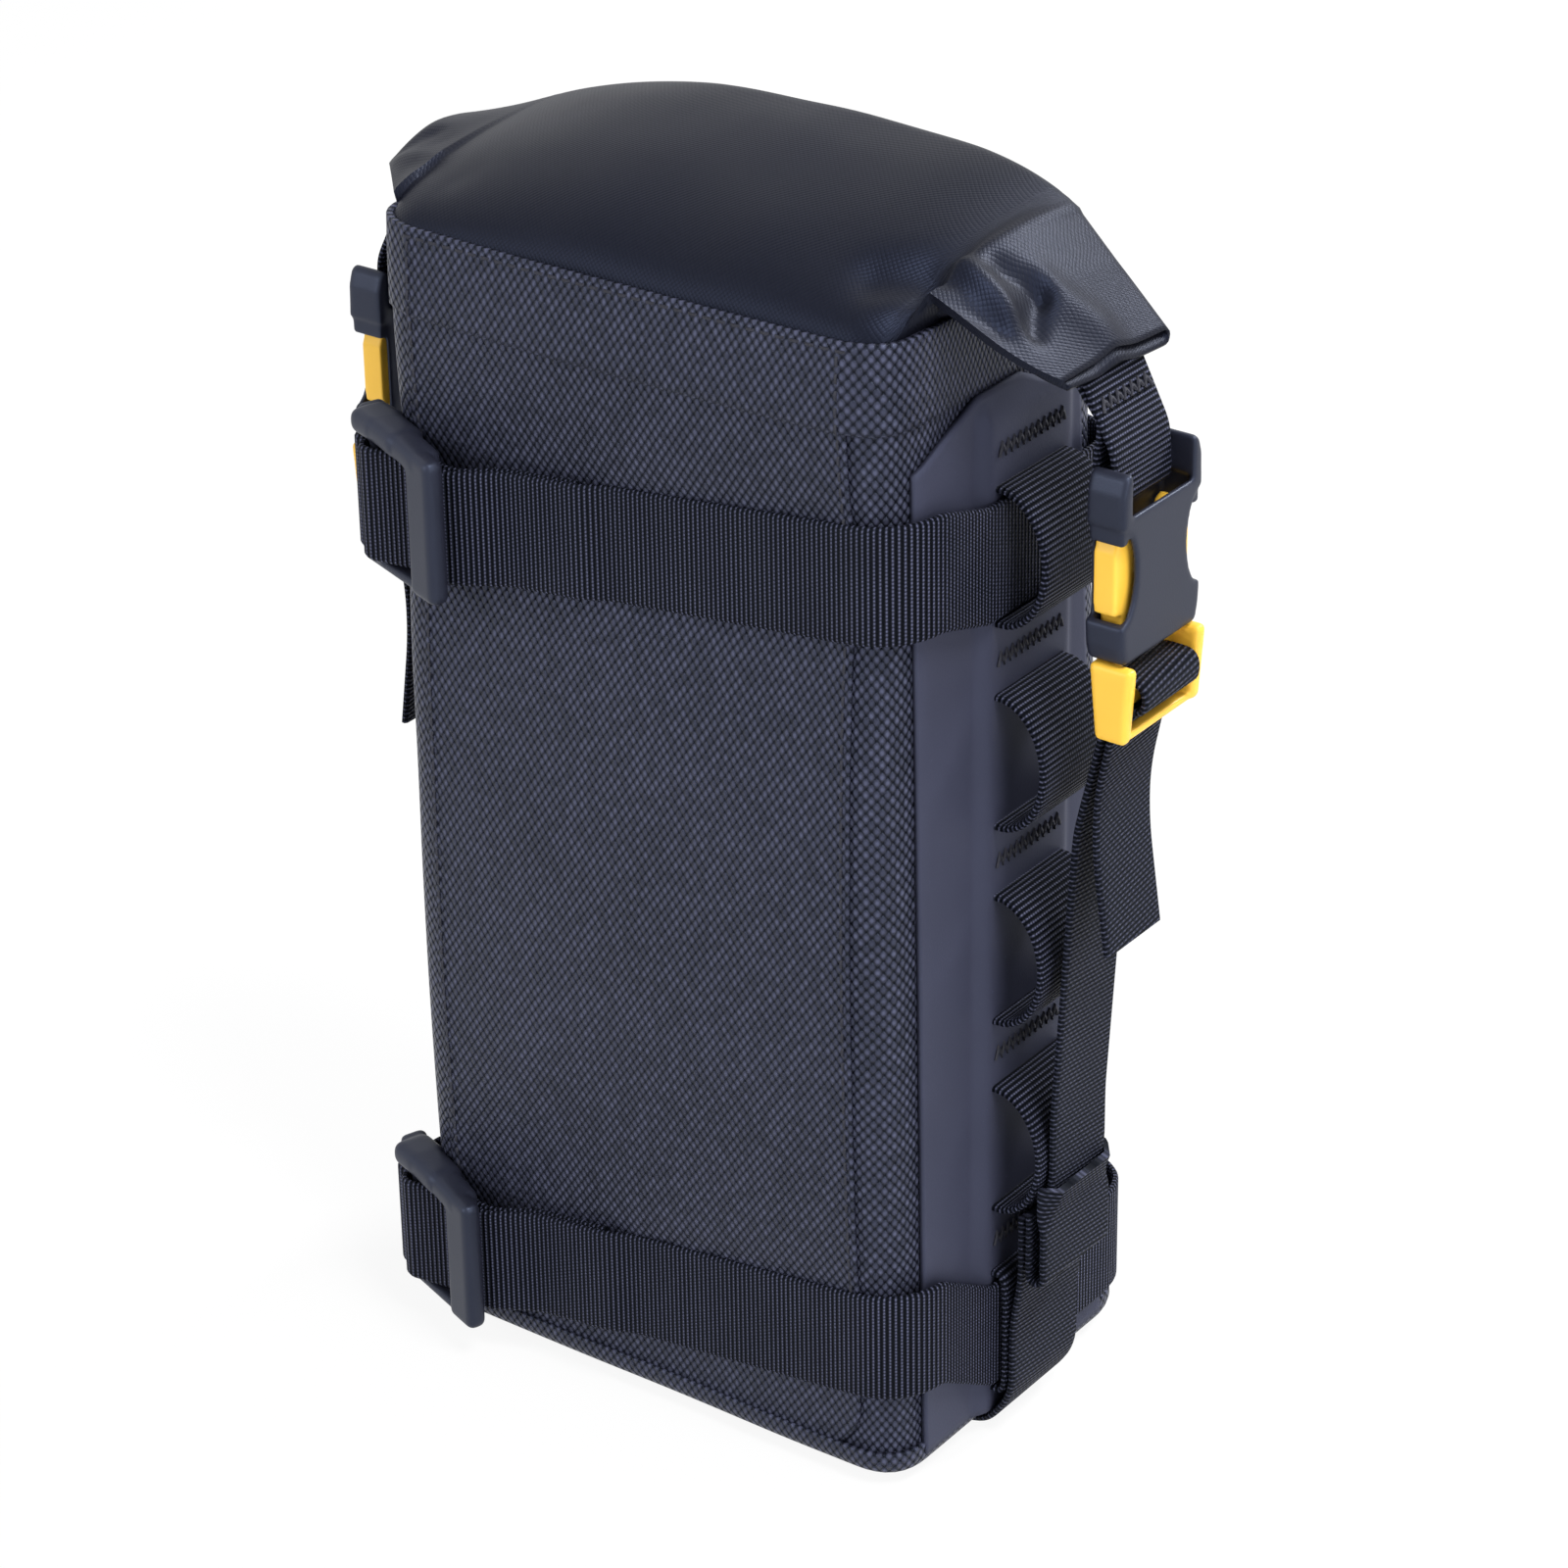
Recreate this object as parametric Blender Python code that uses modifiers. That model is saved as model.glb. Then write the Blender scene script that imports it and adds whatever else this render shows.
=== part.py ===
"""Roll-top saddle bag: welded body, rolled mouth, side buckles, daisy chains and wrap straps.

Sizes are in millimetres and become metres in new_object(). +Z is up, the front faces -Y,
and the origin is on the ground under the middle of the bag.
"""
import math

import bmesh
import bpy
from mathutils import Matrix, Vector

MM = 0.001
GAP = 0.3                 # clearance between pieces that touch

# Body of the bag
BODY_WIDTH = 126.0
FRONT_Y = -45.0
BODY_DEPTH = 86.0         # front to back, at the ground
BACK_LEAN = 0.056         # how far the back comes forward per millimetre of height
LEAN_MARGIN = 3.0         # the lean starts and ends this far inside the corners
BODY_TOP = 258.0
CORNER_RADIUS = 10.0
SEAM_IN = 11.0            # welded seams of the front and back, in from the body's sides
FABRIC = 1.4
BASE_FLOOR = 4.0
BASE_WALL = 2.0
BASE_LIP = 7.5
BASE_EDGE = 5.0

# Rolled mouth and the collar under it
ROLL_RISE = 19.5          # top of the roll above the body
ROLL_DROP = 26.0          # how far the arch comes down at the roll's ends
ROLL_POWER = 4.2
ROLL_OVERHANG = 21.0      # roll beyond each side of the body
ROLL_LAYER = 1.7          # pitch of the rolled layers
ROLL_FABRIC = 1.2
ROLL_CORE = 14.0          # half width of the innermost layer
ROLL_SLACK = 0.7          # extra width of each turn at the front
ROLL_BEND = 1.5
ROLL_LAP = 4.0            # the inner edge stops this far from the fold
ROLL_EDGE = 1.0           # the outer edge stops this far below the top layer
STIFFENER_INSET = 8.0     # stiffener from the roll's end
STIFFENER_WIDTH = 22.0
COLLAR_FABRIC = 1.0
COLLAR_INSET = 7.0        # collar's flattened top from the roll's end
COLLAR_MOUTH = 1.6        # half depth of the collar's flattened top
COLLAR_ROUND = 0.97       # roundness of the flattened top's two ends
COLLAR_BULGE = 0.45       # share of the overhang that the collar has made half-way up
COLLAR_SWELL = (4.0, 12.0)
COLLAR_BELOW = 1.3        # from the roll's underside to the middle of the collar
COLLAR_COVER = 5.0        # the collar stays under the roll this far past its layers

# Webbing
WEB_WIDTH = 25.0          # daisy chains, wrap straps, base strap and anchors
NARROW_WEB = 20.0         # straps in the side buckles
WEB = 1.5
SIDE_LINE_AHEAD = 0.5     # line of the roll, loops and buckles, ahead of the body's middle

# Rubber side patches and daisy chains
RUBBER = 1.2
PATCH_DROP = 18.0         # top of the patch below the body's top
PATCH_BOTTOM = 5.0
PATCH_CHAMFER = 8.0
PATCH_SHOULDER = 2.0      # the front chamfer ends this far ahead of the raised middle
PATCH_RAMP = 2.5          # slope from the flat edge up to the raised middle
PATCH_BACK = 3.5          # flat edge behind the raised middle, at the top
LOOP_COUNT = 5
LOOP_TOP_DROP = 34.8      # top loop below the patch's top
LOOP_BOTTOM_RISE = 20.2   # lowest loop above the patch's bottom
LOOP_HALF = 14.5          # half the distance between the two slits of a loop
LOOP_REACH = 10.5
LOOP_START = 0.7          # straight run out of the slit
LOWEST_REACH = 2.6        # the lowest loop lies flat under the base strap
LOWEST_FLATNESS = 5.0
CHAIN_BEND = 1.0
CHAIN_END = 4.0           # end of the daisy chain below the patch's top

# Wrap straps and their ladder locks
STRAP_BEND = 15.0
END_BEND = 4.0
UPPER_TILT = 0.11         # rise of the strap per millimetre to the right, across the front
UPPER_DROP = -3.0
LOWER_TILT = 0.12
LOWER_DROP = 2.5
LEVEL_MARGIN = 1.0        # a strap stays level this far past the edge of its loop
LEVEL_RUN = 18.0          # distance over which a strap turns from level to sloping
TILT_END_X = -40.0
STRAP_SPLIT_X = -2.0      # where the threaded end of a wrap strap is a piece of its own
TAIL_END_X = -12.0
LIFT_OFF_X = -30.0        # where the strap leaves the front towards the lock
LOCK_ANGLE = 20.0
LOCK_SHIFT = 3.0
LOCK_RAIL = 2.7
LOCK_NOSE = 0.8
FIXED_BAR = (-12.5, 4.2)  # along the lock and out from the bag
FIXED_BAR_HALF = 1.25
FIXED_WRAP = (10, -190)   # angles of the webbing's turn round the bar
THREAD_BAR = (-4.0, 5.8)
THREAD_BAR_HALF = 1.5
THREAD_WRAP = (70, 270)
PRESS_BAR = (6.0, 13.0)
PRESS_BAR_UNDER = 4.2
PRESS_BAR_THICK = 2.8

# Side-release buckles: socket
BUCKLE_OUT = 8.4          # middle plane of a buckle beyond the roll's end
BUCKLE_DROP = 17.5        # top of a socket below the roll's end
SOCKET_LENGTH = 40.0
SOCKET_HALF = 14.0
SOCKET_EDGE = 1.0
BUCKLE_THICK = 9.0
LIP_DROP = 9.0            # outer wall's edge below the socket's lobes
SOCKET_BAR_DROP = 3.0     # bar that the roll strap goes round, below the lobes
SOCKET_BAR = 5.0
SOCKET_BAR_HALF = 1.3
SOCKET_BAR_IN = 2.9       # middle of the bar from the buckle's middle plane
NOTCH_RISE = 18.8         # middle of the side notches above the socket's mouth
NOTCH_DEPTH = 7.7
NOTCH_HALF = 10.4
BAR_BEND = 1.3            # bend of the webbing's middle line round a bar's corner
WEB_SIDE = 0.8            # clearance beside webbing that runs through a window
SLOT_SPARE = 0.3          # clearance over and above the webbing's own in a slot

# Side-release buckles: plug and prongs
PLUG_BASE = 3.0
PLUG_BAR = 4.4            # height of the bar that the buckle strap goes round
PLUG_BAR_HALF = 2.9
PLUG_BAR_OUT = 1.4        # middle of the bar from the buckle's middle plane
PLUG_GRIP = 4.2           # height of the bar that holds the strap's tail
PLUG_IN = 3.5             # faces of the plug from the buckle's middle plane
PLUG_OUT = 7.6
PLUG_TAPER = 2.6
STEM_HALF = 2.4
PRONG_THICK = 6.0
ROOT_Y = 8.4              # prong root from the buckle's middle line
ROOT_RISE = 1.0           # prong root above the plug's top
ROOT_RADIUS = 2.2
HEAD_HALF = 8.8           # half height of a prong's pad
HEAD_DROP = 0.4           # middle of the pad below the notch's middle
PRONG_SIDE = 0.7          # clearance beside a prong's root

# Buckle straps, their tails and anchors
BOW_OUT = 4.6             # the strap's turn towards the plug: beyond the loops, and below the plug
BOW_DROP = 25.0
TAIL_DROP = 1.3           # start of the hanging tail below the plug
TAIL_LENGTH = 49.0
TAIL_SAG = 3.1            # the tail hangs in by this much, then swings out again
TAIL_SAG_AT = (0.3, 0.55) # shares of its length between which it hangs in
ANCHOR_OUT = 2.1          # upper end of the base strap beyond the lowest loop's crest
ANCHOR_RISE = 10.8        # top of the anchor tape above the second loop's lower slit
ANCHOR_LENGTH = 25.0
FOLD_BEND = 1.6

# Colour and roughness of each finish, and the words in a piece's name that choose it
FINISHES = {
    "coated_fabric": ((0.030, 0.032, 0.040), 0.72),
    "coated_cloth": ((0.026, 0.027, 0.033), 0.55),
    "rubber": ((0.052, 0.055, 0.068), 0.62),
    "webbing": ((0.012, 0.012, 0.015), 0.80),
    "black_plastic": ((0.022, 0.023, 0.028), 0.42),
    "yellow_plastic": ((0.96, 0.55, 0.045), 0.38),
}
FINISH_BY_WORD = (
    (("panel", "gusset"), "coated_fabric"),
    (("collar", "mouth", "stiffener"), "coated_cloth"),
    (("patch",), "rubber"),
    (("socket", "lock"), "black_plastic"),
    (("plug", "prong"), "yellow_plastic"),
)

ROUND_BAR = 1.44          # webbing clears a square bar's corners at this many half sides
PLY = WEB + GAP           # one layer of webbing and its clearance
LIFT = GAP + WEB / 2      # from a surface to the middle of the webbing on it
BACK_Y = FRONT_Y + BODY_DEPTH
SIDE_LINE_Y = FRONT_Y + BODY_DEPTH / 2 - SIDE_LINE_AHEAD
SEAM_X = BODY_WIDTH / 2 - SEAM_IN
HALF_WEB = WEB_WIDTH / 2
HALF_NARROW = NARROW_WEB / 2
LOOP_EDGE_Y = SIDE_LINE_Y - HALF_WEB - LEVEL_MARGIN
WEB_WINDOW = HALF_WEB + WEB_SIDE
NARROW_WINDOW = HALF_NARROW + WEB_SIDE
WEB_SLOT = WEB + 2 * GAP + SLOT_SPARE
ROLL_HALF = BODY_WIDTH / 2 + ROLL_OVERHANG
ROLL_HALF_HEIGHT = 2 * ROLL_LAYER + ROLL_FABRIC / 2
ROLL_TOP = BODY_TOP + ROLL_RISE
ROLL_END_Z = ROLL_TOP - ROLL_HALF_HEIGHT - ROLL_DROP
STIFFENER_HALF = ROLL_HALF - STIFFENER_INSET
PATCH_TOP = BODY_TOP - PATCH_DROP
PATCH_FACE = BODY_WIDTH / 2 + GAP + PLY + RUBBER
LOOP_ROOT = PATCH_FACE + LOOP_START
LOOP_FIRST_Z = PATCH_BOTTOM + LOOP_BOTTOM_RISE
LOOP_LAST_Z = PATCH_TOP - LOOP_TOP_DROP
LOOP_PITCH = (LOOP_LAST_Z - LOOP_FIRST_Z) / (LOOP_COUNT - 1)
LOCK_HALF_HEIGHT = WEB_WINDOW + LOCK_RAIL
BUCKLE_X = ROLL_HALF + BUCKLE_OUT
SOCKET_TOP = ROLL_END_Z - BUCKLE_DROP
SOCKET_BOTTOM = SOCKET_TOP - SOCKET_LENGTH
SOCKET_LIP = SOCKET_TOP - LIP_DROP
SOCKET_BAR_TOP = SOCKET_TOP - SOCKET_BAR_DROP
SOCKET_BAR_Z = SOCKET_BAR_TOP - SOCKET_BAR
SOCKET_BAR_X = BUCKLE_X - SOCKET_BAR_IN
NOTCH_Z = SOCKET_BOTTOM + NOTCH_RISE
PLUG_TOP = SOCKET_BOTTOM - GAP
PLUG_BAR_X = BUCKLE_X + PLUG_BAR_OUT
PLUG_BAR_TOP = PLUG_TOP - PLUG_BASE - WEB_SLOT
PLUG_BAR_Z = PLUG_BAR_TOP - PLUG_BAR
GRIP_TOP = PLUG_BAR_Z - WEB_SLOT
PLUG_BOTTOM = GRIP_TOP - PLUG_GRIP
STAND_X = PLUG_BAR_X - PLUG_BAR_HALF - LIFT
TAIL_X = STAND_X + PLY
ROOT_Z = PLUG_TOP + ROOT_RISE
HEAD_BOTTOM = NOTCH_Z - HEAD_HALF - HEAD_DROP
HEAD_TOP = NOTCH_Z + HEAD_HALF - HEAD_DROP
STEM_TOP = NOTCH_Z - STEM_HALF
CAVITY_HALF = ROOT_Y + ROOT_RADIUS + PRONG_SIDE
TAIL_TOP = PLUG_BOTTOM - TAIL_DROP
ANCHOR_FOOT = LOOP_FIRST_Z + LOOP_PITCH - LOOP_HALF
ANCHOR_TOP = ANCHOR_FOOT + ANCHOR_RISE
ANCHOR_BOTTOM = ANCHOR_TOP - ANCHOR_LENGTH
LOWEST_CREST = LOOP_ROOT + LOWEST_REACH + PLY
LOOP_CREST = LOOP_ROOT + LOOP_REACH + PLY
BOW = (LOOP_CREST + BOW_OUT, PLUG_BOTTOM - BOW_DROP)


def collection(name):
    found = bpy.data.collections.get(name)
    if found is None:
        found = bpy.data.collections.new(name)
        bpy.context.scene.collection.children.link(found)
    return found


def material(name):
    found = bpy.data.materials.get(name)
    if found is None:
        colour, roughness = FINISHES[name]
        found = bpy.data.materials.new(name)
        found.use_nodes = True
        shader = found.node_tree.nodes["Principled BSDF"]
        shader.inputs["Base Color"].default_value = (*colour, 1.0)
        shader.inputs["Roughness"].default_value = roughness
        shader.inputs["Metallic"].default_value = 0.0
    return found


def finish_of(name):
    """The finish of a piece, from the words in its name."""
    for words, finish in FINISH_BY_WORD:
        if any(word in name for word in words):
            return finish
    return "webbing"


def put_origin(obj, point):
    """Put a moving piece's origin on its joint's axis."""
    place = Vector(point) * MM
    obj.data.transform(Matrix.Translation(-place))
    obj.location = place


def new_object(name, bm, cutter=False):
    """Turn a mesh in millimetres into an object in metres."""
    bmesh.ops.recalc_face_normals(bm, faces=bm.faces)
    bmesh.ops.scale(bm, vec=(MM, MM, MM), verts=bm.verts)
    mesh = bpy.data.meshes.new(name)
    bm.to_mesh(mesh)
    bm.free()
    obj = bpy.data.objects.new(name, mesh)
    if cutter:
        collection("cutters").objects.link(obj)
        obj.hide_render = True
        obj.display_type = "WIRE"
    else:
        mesh.shade_smooth()
        mesh.set_sharp_from_angle(angle=math.radians(35))
        mesh.materials.append(material(finish_of(name)))
        collection("saddle_bag").objects.link(obj)
        obj.parent = bpy.data.objects["saddle_bag_frame"]
    return obj


def along(axis, a, b, c):
    """A point from its two outline coordinates and its place along the axis."""
    if axis == "X":
        return (c, a, b)
    if axis == "Y":
        return (a, c, b)
    return (a, b, c)


def add_prism(bm, outline, axis, low, high):
    verts = [bm.verts.new(along(axis, a, b, low)) for a, b in outline]
    face = bm.faces.new(verts)
    grown = bmesh.ops.extrude_face_region(bm, geom=[face])
    top = [v for v in grown["geom"] if isinstance(v, bmesh.types.BMVert)]
    bmesh.ops.translate(bm, verts=top, vec=along(axis, 0, 0, high - low))


def prism(name, outlines, axis, low, high, cutter=False):
    """Flat outlines extruded along an axis."""
    bm = bmesh.new()
    for outline in outlines:
        add_prism(bm, outline, axis, low, high)
    return new_object(name, bm, cutter)


def sheet(name, path, stations, thickness, place):
    """An open surface over a path and stations, thickened evenly to both sides."""
    bm = bmesh.new()
    rows = [[bm.verts.new(place(point, s)) for point in path] for s in stations]
    for low, high in zip(rows, rows[1:]):
        for i in range(len(path) - 1):
            bm.faces.new((low[i], low[i + 1], high[i + 1], high[i]))
    obj = new_object(name, bm)
    thicken(obj, thickness)
    return obj


def thicken(obj, thickness, even=True):
    solid = obj.modifiers.new("thickness", "SOLIDIFY")
    solid.thickness = thickness * MM
    solid.offset = 0.0
    solid.use_even_offset = even


def cut(obj, cutter):
    boolean = obj.modifiers.new("cut_" + cutter.name, "BOOLEAN")
    boolean.operation = "DIFFERENCE"
    boolean.solver = "EXACT"
    boolean.object = cutter


def round_corners(points, radius, steps=4):
    """A path with each inner corner turned into an arc."""
    path = [points[0]]
    first_corner, last_corner = points[1], points[-2]
    for before, corner, after in zip(points, points[1:], points[2:]):
        ax, ay = before[0] - corner[0], before[1] - corner[1]
        bx, by = after[0] - corner[0], after[1] - corner[1]
        la, lb = math.hypot(ax, ay), math.hypot(bx, by)
        ax, ay, bx, by = ax / la, ay / la, bx / lb, by / lb
        if abs(ax * by - ay * bx) < 1e-4:
            path.append(corner)
            continue
        half = math.acos(max(-1.0, min(1.0, ax * bx + ay * by))) / 2
        la *= 0.98 if corner == first_corner else 0.49
        lb *= 0.98 if corner == last_corner else 0.49
        reach = min(radius / math.tan(half), la, lb)
        start = (corner[0] + ax * reach, corner[1] + ay * reach)
        end = (corner[0] + bx * reach, corner[1] + by * reach)
        arc = reach * math.tan(half)
        mx, my = ax + bx, ay + by
        scale = math.hypot(reach, arc) / math.hypot(mx, my)
        centre = (corner[0] + mx * scale, corner[1] + my * scale)
        first = math.atan2(start[1] - centre[1], start[0] - centre[0])
        last = math.atan2(end[1] - centre[1], end[0] - centre[0])
        turn = (last - first + math.pi) % (2 * math.pi) - math.pi
        for i in range(steps + 1):
            angle = first + turn * i / steps
            path.append((centre[0] + arc * math.cos(angle), centre[1] + arc * math.sin(angle)))
    path.append(points[-1])
    return path


def rounded_rectangle(x0, y0, x1, y1, radius, steps=5):
    middle = (x0 + x1) / 2
    corners = [(middle, y0), (x1, y0), (x1, y1), (x0, y1), (x0, y0), (middle, y0)]
    return round_corners(corners, radius, steps)[:-1]


def circle(centre, radius, first, last, steps):
    angles = [math.radians(first + (last - first) * i / steps) for i in range(steps + 1)]
    return [(centre[0] + radius * math.cos(a), centre[1] + radius * math.sin(a)) for a in angles]


def lean(y, z):
    """Move the back of the bag forward with height; the front stays where it is."""
    first = FRONT_Y + CORNER_RADIUS + LEAN_MARGIN
    last = BACK_Y - CORNER_RADIUS - LEAN_MARGIN
    share = max(0.0, min(1.0, (y - first) / (last - first)))
    return y - BACK_LEAN * z * share


def roll_middle(x):
    """Height of the roll's middle along its arch."""
    return ROLL_TOP - ROLL_HALF_HEIGHT - ROLL_DROP * (abs(x) / ROLL_HALF) ** ROLL_POWER


def roll_slope(x):
    rise = ROLL_DROP * ROLL_POWER / ROLL_HALF * (abs(x) / ROLL_HALF) ** (ROLL_POWER - 1)
    return -math.copysign(rise, x)


def roll_under(x):
    return roll_middle(x) - ROLL_HALF_HEIGHT * math.hypot(1.0, roll_slope(x))


def steps_between(low, high, count):
    return [low + (high - low) * i / count for i in range(count + 1)]


def loop_heights():
    return [LOOP_FIRST_Z + LOOP_PITCH * i for i in range(LOOP_COUNT)]


def build_body():
    low = BASE_LIP + GAP
    half = BODY_WIDTH / 2 - FABRIC / 2
    front = FRONT_Y + FABRIC / 2
    back = BACK_Y - FABRIC / 2
    heights = (low, BODY_TOP)

    def wall(point, z):
        return (point[0], lean(point[1], z), z)

    edge = SEAM_X - GAP / 2
    sheet("front_panel", [(-edge, front), (edge, front)], heights, FABRIC, wall)
    sheet("back_panel", [(-edge, back), (edge, back)], heights, FABRIC, wall)
    edge = SEAM_X + GAP / 2
    side = [(edge, front), (half, front), (half, back), (edge, back)]
    path = round_corners(side, CORNER_RADIUS - FABRIC / 2, 6)
    sheet("right_gusset", path, heights, FABRIC, wall)
    sheet("left_gusset", [(-x, y) for x, y in path], heights, FABRIC, wall)


def build_base():
    half = BODY_WIDTH / 2
    outline = rounded_rectangle(-half, FRONT_Y, half, BACK_Y, CORNER_RADIUS, 6)
    bm = bmesh.new()
    add_prism(bm, outline, "Z", 0.0, BASE_LIP)
    bottom = [e for e in bm.edges if all(abs(v.co.z) < 1e-6 for v in e.verts)]
    bmesh.ops.bevel(bm, geom=bottom, offset=BASE_EDGE, segments=4, profile=0.5, affect="EDGES")
    base = new_object("bottom_panel", bm)
    hollow = rounded_rectangle(-half + BASE_WALL, FRONT_Y + BASE_WALL, half - BASE_WALL, BACK_Y - BASE_WALL,
                               CORNER_RADIUS - BASE_WALL, 6)
    cut(base, prism("base_hollow", [hollow], "Z", BASE_FLOOR, 2 * BASE_LIP, cutter=True))
    reach = HALF_WEB + GAP
    past = half + BASE_LIP
    groove = [(-past, -PLY), (past, -PLY), (past, PLY), (-past, PLY)]
    cut(base, prism("base_groove", [groove], "Y", SIDE_LINE_Y - reach, SIDE_LINE_Y + reach, cutter=True))


def collar_rings():
    inset = COLLAR_FABRIC / 2
    half = BODY_WIDTH / 2 - inset
    back = lean(BACK_Y, BODY_TOP) - inset
    bottom = rounded_rectangle(-half, FRONT_Y + inset, half, back, CORNER_RADIUS - inset, 6)
    reach = ROLL_HALF - COLLAR_INSET
    depth = COLLAR_MOUTH
    ends = COLLAR_ROUND * depth
    top = rounded_rectangle(-reach, SIDE_LINE_Y - depth, reach, SIDE_LINE_Y + depth, ends, 3)
    return bottom, top


def spread(outline, count):
    """Points at even distances round a closed outline."""
    closed = outline + [outline[0]]
    lengths = [math.dist(a, b) for a, b in zip(closed, closed[1:])]
    total = sum(lengths)
    points = []
    for i in range(count):
        left = total * i / count
        for (a, b), length in zip(zip(closed, closed[1:]), lengths):
            if left <= length:
                share = left / length
                points.append((a[0] + (b[0] - a[0]) * share, a[1] + (b[1] - a[1]) * share))
                break
            left -= length
    return points


def collar_point(low, high, t):
    """A point of the collar between the body's rim and the rolled mouth."""
    foot_z = BODY_TOP + GAP + COLLAR_FABRIC / 2
    head_z = roll_under(high[0]) - COLLAR_BELOW
    outward = max(0.0, abs(high[0]) - abs(low[0])) * COLLAR_BULGE
    mid_x = low[0] + math.copysign(outward, high[0])
    mid_z = BODY_TOP + max(COLLAR_SWELL[0], min(COLLAR_SWELL[1], head_z - BODY_TOP - COLLAR_FABRIC))
    a, b, c = (1 - t) ** 2, 2 * t * (1 - t), t * t
    x = a * low[0] + b * mid_x + c * high[0]
    y = a * low[1] + b * low[1] + c * high[1]
    z = a * foot_z + b * mid_z + c * head_z
    if abs(y - SIDE_LINE_Y) < ROLL_CORE + COLLAR_COVER:
        z = min(z, roll_under(x) - COLLAR_BELOW)
    return (x, y, z)


def build_collar():
    count = 48
    bottom, top = collar_rings()
    pairs = list(zip(spread(bottom, count), spread(top, count)))
    bm = bmesh.new()
    rings = []
    for t in steps_between(0.0, 1.0, 5):
        rings.append([bm.verts.new(collar_point(low, high, t)) for low, high in pairs])
    for low, high in zip(rings, rings[1:]):
        for i in range(count):
            j = (i + 1) % count
            bm.faces.new((low[i], low[j], high[j], high[i]))
    thicken(new_object("collar", bm), COLLAR_FABRIC, even=False)


def build_roll():
    """Flattened spiral of the mouth over its stiffener, following the arch."""
    one, two = ROLL_LAYER, 2 * ROLL_LAYER
    back, front = ROLL_CORE, -ROLL_CORE - ROLL_SLACK
    spiral = [(-back + ROLL_LAP, one), (back, one), (back, -one), (front, -one), (front, two),
              (back + one, two), (back + one, -two), (front - one, -two), (front - one, two - ROLL_EDGE)]
    path = round_corners(spiral, ROLL_BEND, 3)

    def on_arch(point, x):
        slope = roll_slope(x)
        lift = point[1] / math.hypot(1.0, slope)
        return (x - slope * lift, SIDE_LINE_Y + point[0], roll_middle(x) + lift)

    sheet("rolled_mouth", path, steps_between(-ROLL_HALF, ROLL_HALF, 18), ROLL_FABRIC, on_arch)
    strip = [(-STIFFENER_WIDTH / 2, 0), (STIFFENER_WIDTH / 2, 0)]
    sheet("roll_stiffener", strip, steps_between(-STIFFENER_HALF, STIFFENER_HALF, 18), WEB, on_arch)


def side_name(sign, name):
    return ("right_" if sign > 0 else "left_") + name


def build_patch(sign):
    flat = BODY_WIDTH / 2 + GAP + RUBBER / 2
    raised = PATCH_FACE - RUBBER / 2
    reach = HALF_WEB + GAP
    pocket = reach + RUBBER
    foot = pocket + PATCH_RAMP
    front = FRONT_Y + CORNER_RADIUS
    back = SIDE_LINE_Y + foot + PATCH_BACK
    path = [(flat, front), (flat, SIDE_LINE_Y - foot - PATCH_SHOULDER), (flat, SIDE_LINE_Y - foot),
            (raised, SIDE_LINE_Y - pocket), (raised, SIDE_LINE_Y + pocket), (flat, SIDE_LINE_Y + foot),
            (flat, back)]

    def place(point, level):
        edge = point[1] in (front, back)
        top = PATCH_TOP - PATCH_CHAMFER if edge else PATCH_TOP
        z = top if level else PATCH_BOTTOM
        y = point[1]
        if y == back:
            y += BACK_LEAN * (PATCH_TOP - z)
        return (sign * point[0], y, z)

    patch = sheet(side_name(sign, "side_patch"), path, (0, 1), RUBBER, place)
    slit = WEB / 2 + GAP
    slits = []
    for z in loop_heights():
        for middle in (z - LOOP_HALF, z + LOOP_HALF):
            slits.append(box(-reach, middle - slit, reach, middle + slit))
    low, high = sorted((sign * (BODY_WIDTH / 2 + WEB), sign * (PATCH_FACE + WEB)))
    cut(patch, prism(side_name(sign, "slits"), slits, "X", low, high, cutter=True))


def strap_across(name, path, width, sign=1):
    """Webbing over a path in the XZ plane, its width along Y on the side line."""
    stations = (SIDE_LINE_Y - width / 2, SIDE_LINE_Y + width / 2)
    return sheet(name, path, stations, WEB, lambda p, y: (sign * p[0], y, p[1]))


def loop_curve(reach, flatness):
    """Half of a superellipse, from a loop's upper slit out and back to its lower slit."""
    power = 2 / flatness
    points = []
    for angle in steps_between(90, -90, 12)[1:-1]:
        c, s = math.cos(math.radians(angle)), math.sin(math.radians(angle))
        points.append((reach * c ** power, LOOP_HALF * math.copysign(abs(s) ** power, s)))
    return points


def build_daisy_chain(sign):
    behind = BODY_WIDTH / 2 + LIFT
    turn = 3 * CHAIN_BEND
    path = [(behind, PATCH_TOP - CHAIN_END)]
    for z in reversed(loop_heights()):
        lowest = z == LOOP_FIRST_Z
        curve = loop_curve(LOWEST_REACH, LOWEST_FLATNESS) if lowest else loop_curve(LOOP_REACH, 2)
        high, low = z + LOOP_HALF, z - LOOP_HALF
        path += round_corners([(behind, high + turn), (behind, high), (LOOP_ROOT, high)], CHAIN_BEND, 3)
        path += [(LOOP_ROOT + x, z + rise) for x, rise in curve]
        path += round_corners([(LOOP_ROOT, low), (behind, low), (behind, low - turn)], CHAIN_BEND, 3)
    path.append((behind, PATCH_BOTTOM + GAP))
    strap_across(side_name(sign, "daisy_chain"), path, WEB_WIDTH, sign)


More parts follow.
